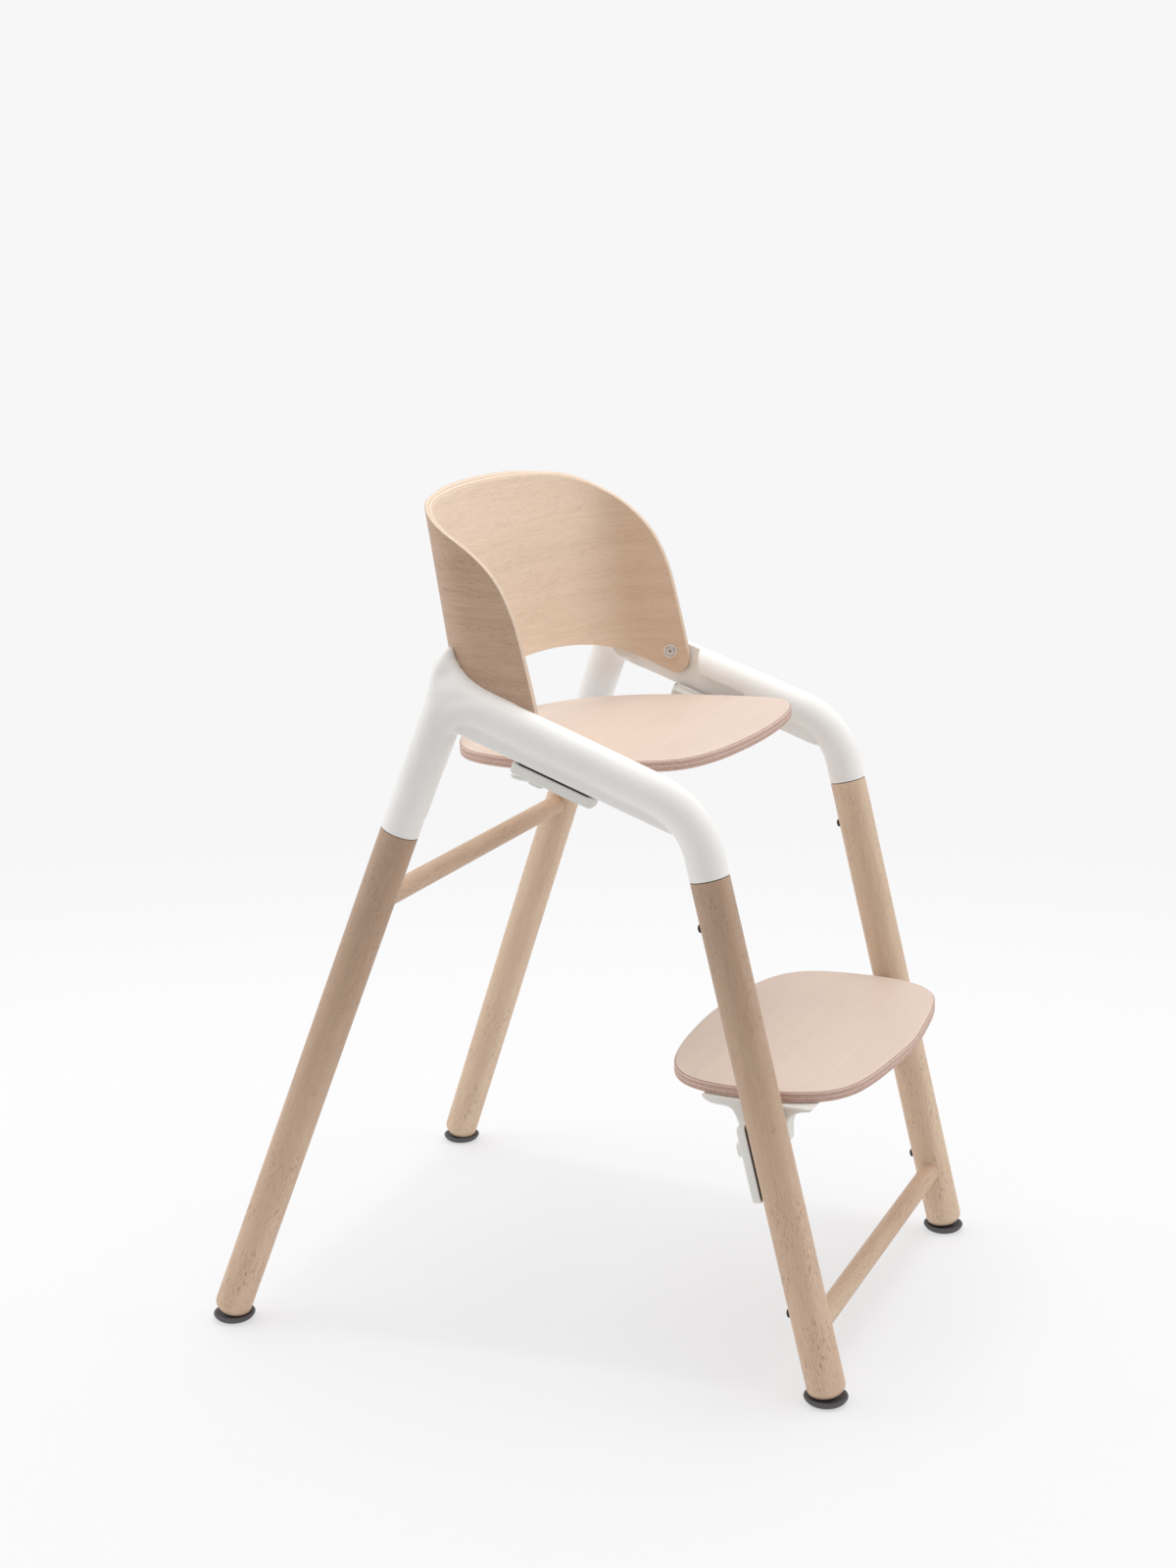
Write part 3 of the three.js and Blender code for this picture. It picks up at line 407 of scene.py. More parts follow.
def add_pair(name, mesh, matrix, body, materials, node, angle=35, right=None):
    """The left piece as given, and its mirror image on the right."""
    other = mirrored(mesh, f"{name}_right")
    across = MIRROR @ matrix @ MIRROR
    bodies = body if isinstance(body, tuple) else (body, body)
    add_piece(f"{name}_left", mesh, matrix, bodies[0], materials, [f"{node}_left"], angle)
    chosen = right or materials
    add_piece(f"{name}_right", other, across, bodies[1], chosen, [f"{node}_right"], angle)


def rings_to_mesh(name, rings):
    """Quads between rings of equal count; the ends are closed by one face each."""
    count = len(rings[0])
    points = [p for ring in rings for p in ring]
    faces = []
    for r in range(len(rings) - 1):
        for i in range(count):
            j = (i + 1) % count
            faces.append((r * count + i, r * count + j, (r + 1) * count + j, (r + 1) * count + i))
    faces.append(tuple(reversed(range(count))))
    faces.append(tuple((len(rings) - 1) * count + i for i in range(count)))
    return to_mesh(name, points, faces)


def circle(radius, z, sides):
    step = 2 * math.pi / sides
    return [(radius * math.cos(step * i), radius * math.sin(step * i), z) for i in range(sides)]


def lathe(name, profile, sides=96):
    """Turned about Z from (radius, height) pairs that start and end just off the axis."""
    return rings_to_mesh(name, [circle(max(r, 0.02), z, sides) for r, z in profile])


def sweep(stations, radius, sides=64):
    """Round tube through (point, tangent) stations."""
    rings = []
    for point, tangent in stations:
        side = Vector((1, 0, 0))
        side = (side - side.dot(tangent) * tangent).normalized()
        up = tangent.cross(side)
        ring = []
        for i in range(sides):
            turn = 2 * math.pi * i / sides
            ring.append(tuple(point + radius * (math.cos(turn) * side + math.sin(turn) * up)))
        rings.append(ring)
    return rings_to_mesh("tube", rings)


def bent_stations(start, corner, end, radius, count):
    before = (corner - start).normalized()
    after = (end - corner).normalized()
    angle = before.angle(after)
    arc_start = corner - before * (radius * math.tan(angle / 2))
    inward = (after - before * after.dot(before)).normalized()
    centre = arc_start + inward * radius
    stations = [(start, before)]
    for i in range(count + 1):
        turn = angle * i / count
        point = centre - inward * (radius * math.cos(turn)) + before * (radius * math.sin(turn))
        stations.append((point, before * math.cos(turn) + inward * math.sin(turn)))
    stations.append((end, after))
    return stations


def from_bmesh(bm, name):
    out = bpy.data.meshes.new(name)
    bm.to_mesh(out)
    bm.free()
    return out


def joined(meshes):
    bm = bmesh.new()
    for mesh in meshes:
        bm.from_mesh(mesh)
    return from_bmesh(bm, "joined")


def modified(mesh, kind, **settings):
    """The mesh after one modifier."""
    holder = bpy.data.objects.new("holder", mesh)
    bpy.context.scene.collection.objects.link(holder)
    modifier = holder.modifiers.new("step", kind)
    for key, value in settings.items():
        setattr(modifier, key, value)
    graph = bpy.context.evaluated_depsgraph_get()
    out = bpy.data.meshes.new_from_object(holder.evaluated_get(graph))
    bpy.data.objects.remove(holder)
    return out


def without(mesh, *cutters):
    """The mesh less each closed cutter."""
    for cutter in cutters:
        tool = bpy.data.objects.new("tool", cutter)
        bpy.context.scene.collection.objects.link(tool)
        mesh = modified(mesh, "BOOLEAN", operation="DIFFERENCE", solver="EXACT", object=tool)
        bpy.data.objects.remove(tool)
    return mesh


def relaxed(mesh, rounds, shares=None):
    """Evens out a dense mesh without shrinking it, or, with shares, melts part of it."""
    count = len(mesh.vertices)
    points = np.zeros(count * 3)
    mesh.vertices.foreach_get("co", points)
    points = points.reshape(-1, 3)
    edges = np.zeros(len(mesh.edges) * 2, dtype=np.int64)
    mesh.edges.foreach_get("vertices", edges)
    first, second = edges.reshape(-1, 2).T
    valence = np.bincount(first, minlength=count) + np.bincount(second, minlength=count)
    for step in range(rounds * 2):
        total = np.zeros_like(points)
        for axis in range(3):
            total[:, axis] += np.bincount(first, points[second, axis], count)
            total[:, axis] += np.bincount(second, points[first, axis], count)
        change = total / valence[:, None] - points
        if shares is not None:
            change *= 0.5 * shares[:, None]
        else:
            change *= 0.55 if step % 2 == 0 else -0.57
        points = points + change
    mesh.vertices.foreach_set("co", points.ravel())
    mesh.update()
    return mesh


def moulded(mesh, voxel, rounds):
    """One smooth closed skin over closed parts that overlap."""
    skin = modified(mesh, "REMESH", mode="VOXEL", voxel_size=voxel * MM)
    return relaxed(skin, rounds)


def moved(mesh, matrix):
    mesh.transform(in_metres(matrix))
    return mesh


def box_mesh(x0, x1, y0, y1, z0, z1):
    rings = []
    for z in (z0, z1):
        rings.append([(x0, y0, z), (x1, y0, z), (x1, y1, z), (x0, y1, z)])
    return rings_to_mesh("box", rings)


def prism_x(outline, x0, x1):
    """An outline in Y and Z, counter-clockwise seen from +X, extruded along X."""
    rings = [[(x, y, z) for y, z in outline] for x in (x0, x1)]
    return rings_to_mesh("prism", rings)


def hull(points):
    bm = bmesh.new()
    for p in points:
        bm.verts.new([c * MM for c in p])
    made = bmesh.ops.convex_hull(bm, input=bm.verts)
    loose = {v for v in made["geom_interior"] + made["geom_unused"] if isinstance(v, bmesh.types.BMVert)}
    bmesh.ops.delete(bm, geom=list(loose), context="VERTS")
    bmesh.ops.recalc_face_normals(bm, faces=bm.faces)
    return from_bmesh(bm, "hull")


def ball(centre, radius):
    points = []
    for i in range(1, 24):
        polar = math.pi * i / 24
        for k in range(48):
            turn = 2 * math.pi * k / 48
            points.append((
                centre[0] + radius * math.sin(polar) * math.cos(turn),
                centre[1] + radius * math.sin(polar) * math.sin(turn),
                centre[2] + radius * math.cos(polar),
            ))
    return points


def chain(spheres):
    """A skin stretched over each neighbouring pair of balls."""
    return [
        hull(ball(a[:3], a[3]) + ball(b[:3], b[3]))
        for a, b in zip(spheres, spheres[1:])
    ]


# Outlines
def closed_spline(points, count):
    """Centripetal spline through a closed loop, at even steps."""
    loop = [np.array(p, float) for p in points]
    n = len(loop)
    dense = []
    for i in range(n):
        p0, p1, p2, p3 = (loop[(i + k) % n] for k in (-1, 0, 1, 2))
        t1 = np.linalg.norm(p1 - p0) ** 0.5
        t2 = t1 + np.linalg.norm(p2 - p1) ** 0.5
        t3 = t2 + np.linalg.norm(p3 - p2) ** 0.5
        for share in np.linspace(0, 1, 24, endpoint=False):
            t = t1 + (t2 - t1) * share
            a1 = (t1 - t) / t1 * p0 + t / t1 * p1
            a2 = (t2 - t) / (t2 - t1) * p1 + (t - t1) / (t2 - t1) * p2
            a3 = (t3 - t) / (t3 - t2) * p2 + (t - t2) / (t3 - t2) * p3
            b1 = (t2 - t) / t2 * a1 + t / t2 * a2
            b2 = (t3 - t) / (t3 - t1) * a2 + (t - t1) / (t3 - t1) * a3
            dense.append((t2 - t) / (t2 - t1) * b1 + (t - t1) / (t2 - t1) * b2)
    return even_loop(np.array(dense), count)


def even_loop(points, count):
    closed = np.vstack([points, points[:1]])
    reach = np.concatenate([[0], np.cumsum(np.linalg.norm(np.diff(closed, axis=0), axis=1))])
    at = np.linspace(0, reach[-1], count, endpoint=False)
    return np.stack([np.interp(at, reach, closed[:, k]) for k in (0, 1)], axis=1)


def softened(loop, rounds):
    for _ in range(rounds):
        loop = (np.roll(loop, 1, axis=0) + 2 * loop + np.roll(loop, -1, axis=0)) / 4
    return loop


def inset(loop, distance):
    """A counter-clockwise loop moved inwards."""
    along = np.roll(loop, -1, axis=0) - np.roll(loop, 1, axis=0)
    along /= np.linalg.norm(along, axis=1)[:, None]
    return loop + distance * np.stack([-along[:, 1], along[:, 0]], axis=1)


def rounded_slab(name, loop, z0, z1, low, high, steps=5):
    """A plate with rounded edges: material 0 on its faces, 1 on its edge."""
    levels = [(low + 0.3, z0)]
    for k in range(steps + 1):
        turn = math.pi / 2 * k / steps
        levels.append((low * (1 - math.sin(turn)), z0 + low * (1 - math.cos(turn))))
    for k in range(steps + 1):
        turn = math.pi / 2 * k / steps
        levels.append((high * (1 - math.cos(turn)), z1 - high * (1 - math.sin(turn))))
    levels.append((high + 0.3, z1))
    rings = [[(x, y, z) for x, y in inset(loop, d)] for d, z in levels]
    mesh = rings_to_mesh(name, rings)
    count = len(loop)
    kinds = []
    for r in range(len(levels) - 1):
        face = r == 0 or r >= len(levels) - 3
        kinds += [0 if face else 1] * count
    mesh.polygons.foreach_set("material_index", kinds + [0, 0])
    return mesh


def pill(width, length, count=96):
    half, straight = width / 2, (length - width) / 2
    loop = []
    for i in range(count):
        turn = 2 * math.pi * (i + 0.5) / count
        shift = straight if math.sin(turn) > 0 else -straight
        loop.append((half * math.cos(turn), half * math.sin(turn) + shift))
    return even_loop(np.array(loop), count)


# Legs, pads and rungs
def dome(radius, height):
    """Profile of a leg's rounded end, from its tip out to its rim at height 0."""
    turns = [math.pi / 2 * i / 24 for i in range(25)]
    return [(radius * math.sin(turn), -height * math.cos(turn)) for turn in turns]


def leg_mesh(name, length):
    profile = dome(LEG_R, BALL_HEIGHT)
    top = length - 3 * GAP
    for i in range(1, 40):
        profile.append((LEG_R, (top - 0.7) * i / 39))
    profile += [(LEG_R - 0.2, top - 0.2), (LEG_R - 0.7, top), (LEG_R - 1.5, top), (0, top)]
    return lathe(name, profile)


def slot_outline(above):
    """A T-slot's half widths and depths, from above the surface to its floor and back."""
    mouth, wide = SLOT_MOUTH / 2, SLOT_WIDE / 2
    side = [(mouth, -above), (mouth, SLOT_LIP), (wide, SLOT_LIP), (wide, SLOT_DEEP)]
    return side + [(-u, depth) for u, depth in reversed(side)]


def build_legs():
    outline = slot_outline(1)[::-1]
    rings = [[(u, LEG_R - depth, z) for u, depth in outline] for z in LEG_TRACK]
    front = without(leg_mesh("front_leg", FRONT_LENGTH), rings_to_mesh("leg_slot", rings))
    rear = leg_mesh("rear_leg", REAR_LENGTH)
    for name, mesh, place in (
        ("front_leg", front, front_leg_frame),
        ("rear_leg", rear, rear_leg_frame),
    ):
        # The right-hand legs take the painted-shade copy of the beech.
        add_pair(
            f"{name}_wood", mesh, place, "frame", [beech], name, right=[shaded_beech],
        )


def build_stops():
    base = LEG_R + GAP
    profile = [
        (0, base - 12), (2, base - 12), (2, base), (3.6, base), (4, base + 0.3), (4, base + 1.6),
        (3.7, base + 2.2), (3.1, base + 2.6), (1.9, base + 2.6), (1.8, base + 1.4), (0, base + 1.4),
    ]
    for where, height in TRACK_STOPS.items():
        mesh = lathe(f"track_stop_{where}", profile, 48)
        mesh.transform(Matrix.Rotation(-math.pi / 2, 4, "X"))
        mesh.transform(Matrix.Translation((0, 0, height * MM)))
        add_pair(
            f"track_stop_{where}_screw", mesh, front_leg_frame, "frame", [black],
            f"track_stop_{where}",
        )


def build_pads():
    profile = [
        (0, 0), (15.2, 0), (16.6, 0.35), (17.9, 1.2), (19.3, 2.8), (20.2, 4.1), (20.62, 4.9),
        (20.7, 5.5), (20.55, 6.15), (20.1, 6.6), (19.4, 6.9), (18.6, 6.95), (17.2, 6.6),
        (15.8, 5.9), (13.9, 5.4), (0, 5.0),
    ]
    for name, foot, leg_frame, length in (
        ("front", FRONT_FOOT, front_leg_frame, FRONT_LENGTH),
        ("rear", REAR_FOOT, rear_leg_frame, REAR_LENGTH),
    ):
        dish = lathe(f"{name}_pad", profile)
        blank = dome(LEG_R + GAP, BALL_HEIGHT + GAP) + [(LEG_R + GAP, 40), (0, 40)]
        place = Matrix.Translation((foot.x, foot.y, 0))
        cutter = moved(lathe("blank", blank), place.inverted() @ leg_frame)
        add_pair(
            f"{name}_foot_pad_ring", without(dish, cutter), place, "frame",
            [rubber], f"{name}_foot_pad",
        )


def build_rungs():
    for name, foot, top, z, node in (
        ("front_rung_dowel", FRONT_FOOT, FRONT_TOP, FRONT_RUNG_Z, "front_rung"),
        ("rear_rung_dowel", REAR_FOOT, REAR_TOP, REAR_RUNG_Z, "rear_rung"),
    ):
        at = foot + (top - foot) * ((z - foot.z) / (top.z - foot.z))
        reach = at.x - RUNG_SHORT
        profile = [(0, -reach)]
        profile += [(RUNG_R, -reach + 2 * reach * i / 30) for i in range(31)]
        profile.append((0, reach))
        mesh = lathe(name, profile, 72)
        mesh.transform(Matrix.Rotation(math.pi / 2, 4, "Y"))
        place = Matrix.Translation((0, at.y, at.z))
        add_piece(name, mesh, place, "frame", [beech_cross], [node])


# Backrest: plan curve, side profile and the bent sheet between them
def plan(turn, offset):
    """The curved rear stretch at one side, from the middle (turn 90) to the straight."""
    x = (SHELL_HALF + offset) * np.cos(turn) ** (2 / SHELL_POWER)
    y = SHELL_STRAIGHT_Y + (SHELL_DEPTH + offset) * np.sin(turn) ** (2 / SHELL_POWER)
    return np.abs(x), y


def side_profile():
    """Front edge, nose and lower edge of the backrest seen from the side."""
    knots = [
        (129, SHELL_TOP_Z), (119, 813.5), (104, 807), (80, 793), (45, 771), (19, 745), (2, 711),
        (-9.5, 668), (-21.3, 616),
    ]
    path = [(200, SHELL_TOP_Z), (160, SHELL_TOP_Z)]
    n = len(knots)
    for i in range(n - 1):
        p0 = np.array(knots[max(i - 1, 0)], float)
        p1 = np.array(knots[i], float)
        p2 = np.array(knots[i + 1], float)
        p3 = np.array(knots[min(i + 2, n - 1)], float)
        for t in np.linspace(0, 1, 16, endpoint=False):
            a = 2 * p1 + (p2 - p0) * t + (2 * p0 - 5 * p1 + 4 * p2 - p3) * t * t
            path.append(tuple((a + (3 * p1 - p0 - 3 * p2 + p3) * t ** 3) / 2))
    a, b, c, d = (np.array(p, float) for p in ((-21.3, 616), (-24, 604), (-16, 592), (-2, 596.5)))
    for t in np.linspace(0, 1, 30):
        s = 1 - t
        path.append(tuple(s ** 3 * a + 3 * s * s * t * b + 3 * s * t * t * c + t ** 3 * d))
    path.append((200, 596.5 + 202 * (662.8 - 596.5) / 162))
    return np.array(path)


def crossings(path, y0):
    """Heights where a leaning line through y0 crosses the side profile."""
    level = path[:, 0] - (path[:, 1] - SHELL_BASE_Z) * SHELL_SLOPE - y0
    hits = []
    for k in range(len(path) - 1):
        if (level[k] <= 0) != (level[k + 1] <= 0):
            share = level[k] / (level[k] - level[k + 1])
            hits.append(path[k, 1] + share * (path[k + 1, 1] - path[k, 1]))
    return min(hits), max(hits)


class Shell:
    """Maps an unrolled place (run, height) and a depth into the sheet to a point."""

    def __init__(self):
        self.path = side_profile()
        turns = math.pi / 2 * (1 - np.linspace(0, 1, 4001))
        x, y = plan(turns, -SHELL_T / 2)
        steps = np.hypot(np.diff(x), np.diff(y))
        self.turns = turns
        self.runs = np.concatenate([[0], np.cumsum(steps)])
        self.bend_end = self.runs[-1]
        runs = np.linspace(0, self.bend_end, 160)
        self.samples = runs
        self.limits = {}
        for name, offset in (("outer", 0), ("middle", -SHELL_T / 2), ("inner", -SHELL_T)):
            _, levels = plan(np.interp(runs, self.runs, self.turns), offset)
            self.limits[name] = np.array([crossings(self.path, level) for level in levels])

    def outline(self):
        """The sheet's unrolled outline, counter-clockwise, for both sides."""
        top = np.stack([self.samples, self.limits["middle"][:, 1]], axis=1)
        bottom = np.stack([self.samples, self.limits["middle"][:, 0]], axis=1)
        levels = self.path[:, 0] - (self.path[:, 1] - SHELL_BASE_Z) * SHELL_SLOPE
        front = self.path[levels < SHELL_STRAIGHT_Y - 0.5]
        level = levels[levels < SHELL_STRAIGHT_Y - 0.5]
        run = self.bend_end + SHELL_STRAIGHT_Y - level
        edge = np.stack([run, front[:, 1]], axis=1)
        half = np.vstack([top, edge, bottom[::-1]])
        other = half[::-1].copy()
        other[:, 0] *= -1
        return even_loop(np.vstack([half[1:-1], other])[::-1], 720)

    def point(self, run, height, depth):
        side = -1.0 if run < 0 else 1.0
        run = abs(run)
        share = depth / SHELL_T
        if run >= self.bend_end:
            x = SHELL_HALF - depth
            y = SHELL_STRAIGHT_Y - (run - self.bend_end)
            z = height
        else:
            turn = np.interp(run, self.runs, self.turns)
            x, y = plan(turn, -depth)
            low, high = (self.limit(k, run, 0.5) for k in (0, 1))
            new_low, new_high = (self.limit(k, run, share) for k in (0, 1))
            z = new_low + (height - low) / (high - low) * (new_high - new_low)
        return (side * float(x), float(y + (z - SHELL_BASE_Z) * SHELL_SLOPE), float(z))

    def limit(self, which, run, share):
        values = [np.interp(run, self.samples, self.limits[k][:, which]) for k in ("outer", "inner")]
        return values[0] + (values[1] - values[0]) * share


def inside(points, loop):
    x, y = points[:, 0:1], points[:, 1:2]
    x1, y1 = loop.T
    x2, y2 = np.roll(loop, -1, axis=0).T
    spans = (y1 > y) != (y2 > y)
    cross = x1 + (y - y1) * (x2 - x1) / np.where(y2 == y1, 1e-9, y2 - y1)
    return (spans & (x < cross)).sum(axis=1) % 2 == 1


def build_backrest():
    shell = Shell()
    loop = softened(shell.outline(), 2)
    radius = 1.3
    spacing = 5.0
    levels = []
    for k in range(5):
        turn = math.pi / 2 * k / 4
        levels.append((radius * (1 - math.cos(turn)), radius * (1 - math.sin(turn))))
    levels.append((radius + 0.5, 0))
    loops = [inset(loop, d) for d, _ in levels]
    last = loops[-1]
    grid_x, grid_y = np.meshgrid(np.arange(-420, 420, spacing), np.arange(590, 825, spacing))
    grid = np.stack([grid_x.ravel(), grid_y.ravel()], axis=1)
    grid = grid[inside(grid, inset(loop, 4.5))]
    flat = [Vector(p) for p in last.tolist() + grid.tolist()]
    count = len(loop)
    made = delaunay_2d_cdt(flat, [], [list(range(count))], 1, 1e-6)
    triangles = [tuple(made[3][v][0] for v in face) for face in made[2]]
    places = []
    depths = []
    for face_depth, step in ((0, 1), (SHELL_T, -1)):
        for ring, (_, depth) in zip(loops, levels):
            places += ring.tolist()
            depths += [face_depth + step * depth] * count
        places += grid.tolist()
        depths += [face_depth] * len(grid)
    half = len(places) // 2
    faces = []
    kinds = []
    base = (len(levels) - 1) * count
    for start, flip, side in ((0, False, 2), (half, True, 0)):
        for ring in range(len(levels) - 1):
            for i in range(count):
                j = (i + 1) % count
                a, b = start + ring * count, start + (ring + 1) * count
                quad = (a + i, a + j, b + j, b + i)
                faces.append(quad[::-1] if flip else quad)
                kinds.append(1 if ring < 2 else side)
        for triangle in triangles:
            shifted = tuple(start + base + v for v in triangle)
            faces.append(shifted[::-1] if flip else shifted)
            kinds.append(side)
    for i in range(count):
        j = (i + 1) % count
        faces.append((i, half + i, half + j, j))
        kinds.append(1)
    points = [shell.point(run, height, depth) for (run, height), depth in zip(places, depths)]
    mesh = to_mesh("backrest", points, faces, kinds)
    unrolled = mesh.uv_layers.new(name="UVMap")
    index = np.zeros(len(mesh.loops), dtype=np.int64)
    mesh.loops.foreach_get("vertex_index", index)
    unrolled.data.foreach_set("uv", (np.array(places)[index] * MM).ravel())
    attribute = mesh.attributes.new("depth", "FLOAT", "POINT")
    attribute.data.foreach_set("value", np.array(depths) / SHELL_T)
    bm = bmesh.new()
    bm.from_mesh(mesh)
    bmesh.ops.recalc_face_normals(bm, faces=bm.faces)
    bm.to_mesh(mesh)
    bm.free()
    # The outer face takes the painted-shade copy of the veneer.
    add_piece(
        "backrest_sheet", mesh, Matrix.Identity(4), "frame",
        [shell_face, rim, shaded_shell_back], ["backrest"], 50,
    )


def plug(offset, front_y, z0, z1):
    """The backrest's plan, filled in and leaning, as a cutter."""
    x, y = plan(math.pi / 2 * (1 - np.linspace(0, 1, 120)), offset)
    right = list(zip(x.tolist(), y.tolist())) + [(SHELL_HALF + offset, front_y)]
    left = [(-px, py) for px, py in reversed(right[1:])]
    outline = (left + right)[::-1]
    rings = [
        [(px, py + (z - SHELL_BASE_Z) * SHELL_SLOPE, z) for px, py in outline]
        for z in (z0, z1)
    ]
    return rings_to_mesh("plug", rings)


def build_back_screws():
    inner = SHELL_HALF - SHELL_T - GAP
    flange = BACK_SCREW_END - inner
    profile = [
        (0, 0), (2.9, 0), (2.9, flange), (6.9, flange), (7.2, flange + 0.2),
        (7.2, flange + 0.9), (7.05, flange + 1.25), (6.7, flange + 1.45), (6.3, flange + 1.45),
        (6.0, flange + 1.25), (5.85, flange + 0.5), (5.45, flange + 0.5), (5.3, flange + 1.2),
        (5.0, flange + 1.5), (4.4, flange + 1.66), (3.5, flange + 1.74), (3.3, flange + 1.5),
        (3.1, flange + 1.5), (2.9, flange + 1.77), (2.0, flange + 1.8), (1.35, flange + 1.8),
        (1.1, flange + 1.6), (1.0, flange + 0.2), (0, flange + 0.2),
    ]
    mesh = lathe("backrest_screw", profile, 72)
    mesh.transform(Matrix.Rotation(-math.pi / 2, 4, "Y"))
    place = Matrix.Translation((BACK_SCREW_END, BACK_SCREW.y, BACK_SCREW.z))
    add_pair("backrest_screw_dome", mesh, place, "frame", [steel], "backrest_screw")


# Side frames: arm, front bend, shoulder and rail as one casting
def rounded_bar(u0, u1, v0, v1, radius, count=14):
    loop = []
    for cu, cv, start in (
        (u1 - radius, v0 + radius, -90), (u1 - radius, v1 - radius, 0),
        (u0 + radius, v1 - radius, 90), (u0 + radius, v0 + radius, 180),
    ):
        for i in range(count + 1):
            turn = math.radians(start + 90 * i / count)
            loop.append((cu + radius * math.cos(turn), cv + radius * math.sin(turn)))
    return np.array(loop)


def soft_bar(outline, z0, z1, edge):
    mesh = rounded_slab("bar", even_loop(outline, 200), z0, z1, edge, edge, 3)
    mesh.polygons.foreach_set("material_index", [0] * len(mesh.polygons))
    return mesh


def beyond(end, before, extra):
    return end + (end - before).normalized() * extra


def leg_end(leg_frame, length):
    """A block over the last stretch below a leg's upper end."""
    return moved(box_mesh(-60, 60, -60, 60, length - 40, length), leg_frame)


def shoulder_web():
    """The horn that fills the corner above the elbow, up to its tip against the backrest."""
    # Each place holds its Y and Z, its radius, and its outer and inner X
    arm = (8, 616.8, 18.3, 200, 199)
    crest = [
        (33.4, 634.6, 10, 199.5, 186), (50.8, 648.8, 6.5, 197.5, 183), (62.2, 658.1, 6.5, 195.5, 181),
        (69.3, 669.5, 5, 190, 180),
    ]
    tip = (70.4, 676.8, 4.3, 188, 178)
    back = [
        (73.2, 640, 13, 201.5, 190), (74.6, 648.6, 10, 200.5, 184), (74.0, 661.2, 9, 196.5, 181),
        (72.8, 668.5, 7, 192, 180),
    ]
    elbow = [
        (27.4, 624, 18.3, 199, 198), (43.7, 626.6, 18.3, 199, 198),
        (59.6, 622.9, 18.3, 199.7, 199),
    ]
    flank = [(47.3, 637.5, 13, 201, 186), (60.8, 640.5, 13, 201.5, 186)]
    post = (72.1, 624.3, 18.3, 201.1, 201)
    groups = [
        (arm, crest[0], elbow[0]),
        (crest[0], flank[0], elbow[0], elbow[1]),
        (crest[0], crest[1], flank[0]),
        (flank[0], flank[1], elbow[1], elbow[2]),
        (crest[1], crest[2], flank[0], flank[1]),
        (flank[1], back[0], elbow[2], post),
        (flank[1], crest[2], back[0], back[1]),
        (crest[2], crest[3], back[1], back[2]),
        (crest[3], back[2], back[3], tip),
    ]

    def stadium(place):
        y, z, radius, outer, inner = place
        return ball((outer, y, z), radius) + ball((inner, y, z), radius)

    return [hull([p for place in group for p in stadium(place)]) for group in groups]


def rail_slot():
    """The T-slot along the rail's underside."""
    outline = slot_outline(2)
    rings = [[(u, y, depth - RAIL_DROP) for u, depth in outline] for y in RAIL_TRACK]
    return moved(rings_to_mesh("rail_slot", rings), arm_frame)


def backrest_recess():
    """The room beside the rail for the lower part of the backrest."""
    radius = 8
    outline = [(24, -4)]
    for i in range(13):
        turn = math.radians(90 + 90 * i / 12)
        outline.append((-34 + radius * math.cos(turn), -12 + radius * math.sin(turn)))
    outline += [(-42, -30), (24, -30)]
    reach = SHELL_HALF + GAP - arm_frame.translation.x
    return moved(prism_x(outline, -30, reach), arm_frame)


def horn_shares(skin):
    """How much each vertex belongs to the horn: above the arm and behind its end."""
    points = np.array([vertex.co for vertex in skin.vertices]) / MM
    above = np.clip((points[:, 2] - HORN_LOW_Z) / 12, 0, 1)
    behind = np.clip((points[:, 1] - HORN_FRONT_Y) / 14, 0, 1)
    return above * behind


def build_side_frames():
    middle = (ARM_CORNER + ARM_REAR) / 2
    toe = beyond(FRONT_TOP, ARM_CORNER, 5)
    heel = beyond(REAR_TOP, SHOULDER, 5)
    front = sweep(bent_stations(middle, ARM_CORNER, toe, ARM_BEND_R, 24), LEG_R)
    elbow = sweep(
        bent_stations(middle, ELBOW, REAR_TOP.lerp(SHOULDER, 0.3), ELBOW_BEND_R, 24), LEG_R,
    )
    upright = (SHOULDER - REAR_TOP).normalized()
    post = sweep([(heel, upright), (SHOULDER + upright * 26, upright)], LEG_R)
    overlap = sweep([(middle - arm_axis * 8, arm_axis), (middle + arm_axis * 8, arm_axis)], LEG_R)
    rail_outline = rounded_bar(-RAIL_HALF, RAIL_HALF, RAIL_FRONT, RAIL_REAR, 9.5)
    rail = moved(soft_bar(rail_outline, -RAIL_DROP, -6, 1.6), arm_frame)
    gusset = chain([
        (202, 73.7, 604, 15), (204, 82.6, 582, 15), (206, 93.4, 556, 15),
        (208, 103.6, 530, 15), (211, 115, 508, 15),
    ])
    parts = [front, elbow, overlap, post, rail, *gusset, *shoulder_web()]
    skin = moulded(joined(parts), 1.1, 30)
    skin = relaxed(skin, 16, horn_shares(skin))
    cast = without(
        skin,
        plug(GAP, POCKET_FRONT_Y, 560, 720),
        backrest_recess(),
        rail_slot(),
        leg_end(front_leg_frame, FRONT_LENGTH),
        leg_end(rear_leg_frame, REAR_LENGTH),
    )
    cast.transform(in_metres(arm_frame).inverted())
    add_pair("side_casting", cast, arm_frame, "frame", [white], "side_frame", 32)


# Seat and footrest
def build_plate(name, outline, thickness, matrix, body, edge, node):
    mirror = [(-x, y) for x, y in reversed(outline[1:-1])]
    loop = softened(closed_spline(list(outline) + mirror, 420), 6)
    mesh = rounded_slab(name, loop, -thickness, 0, 1.6, 1.9)
    add_piece(name, mesh, matrix, body, [plate_face, edge], [node])


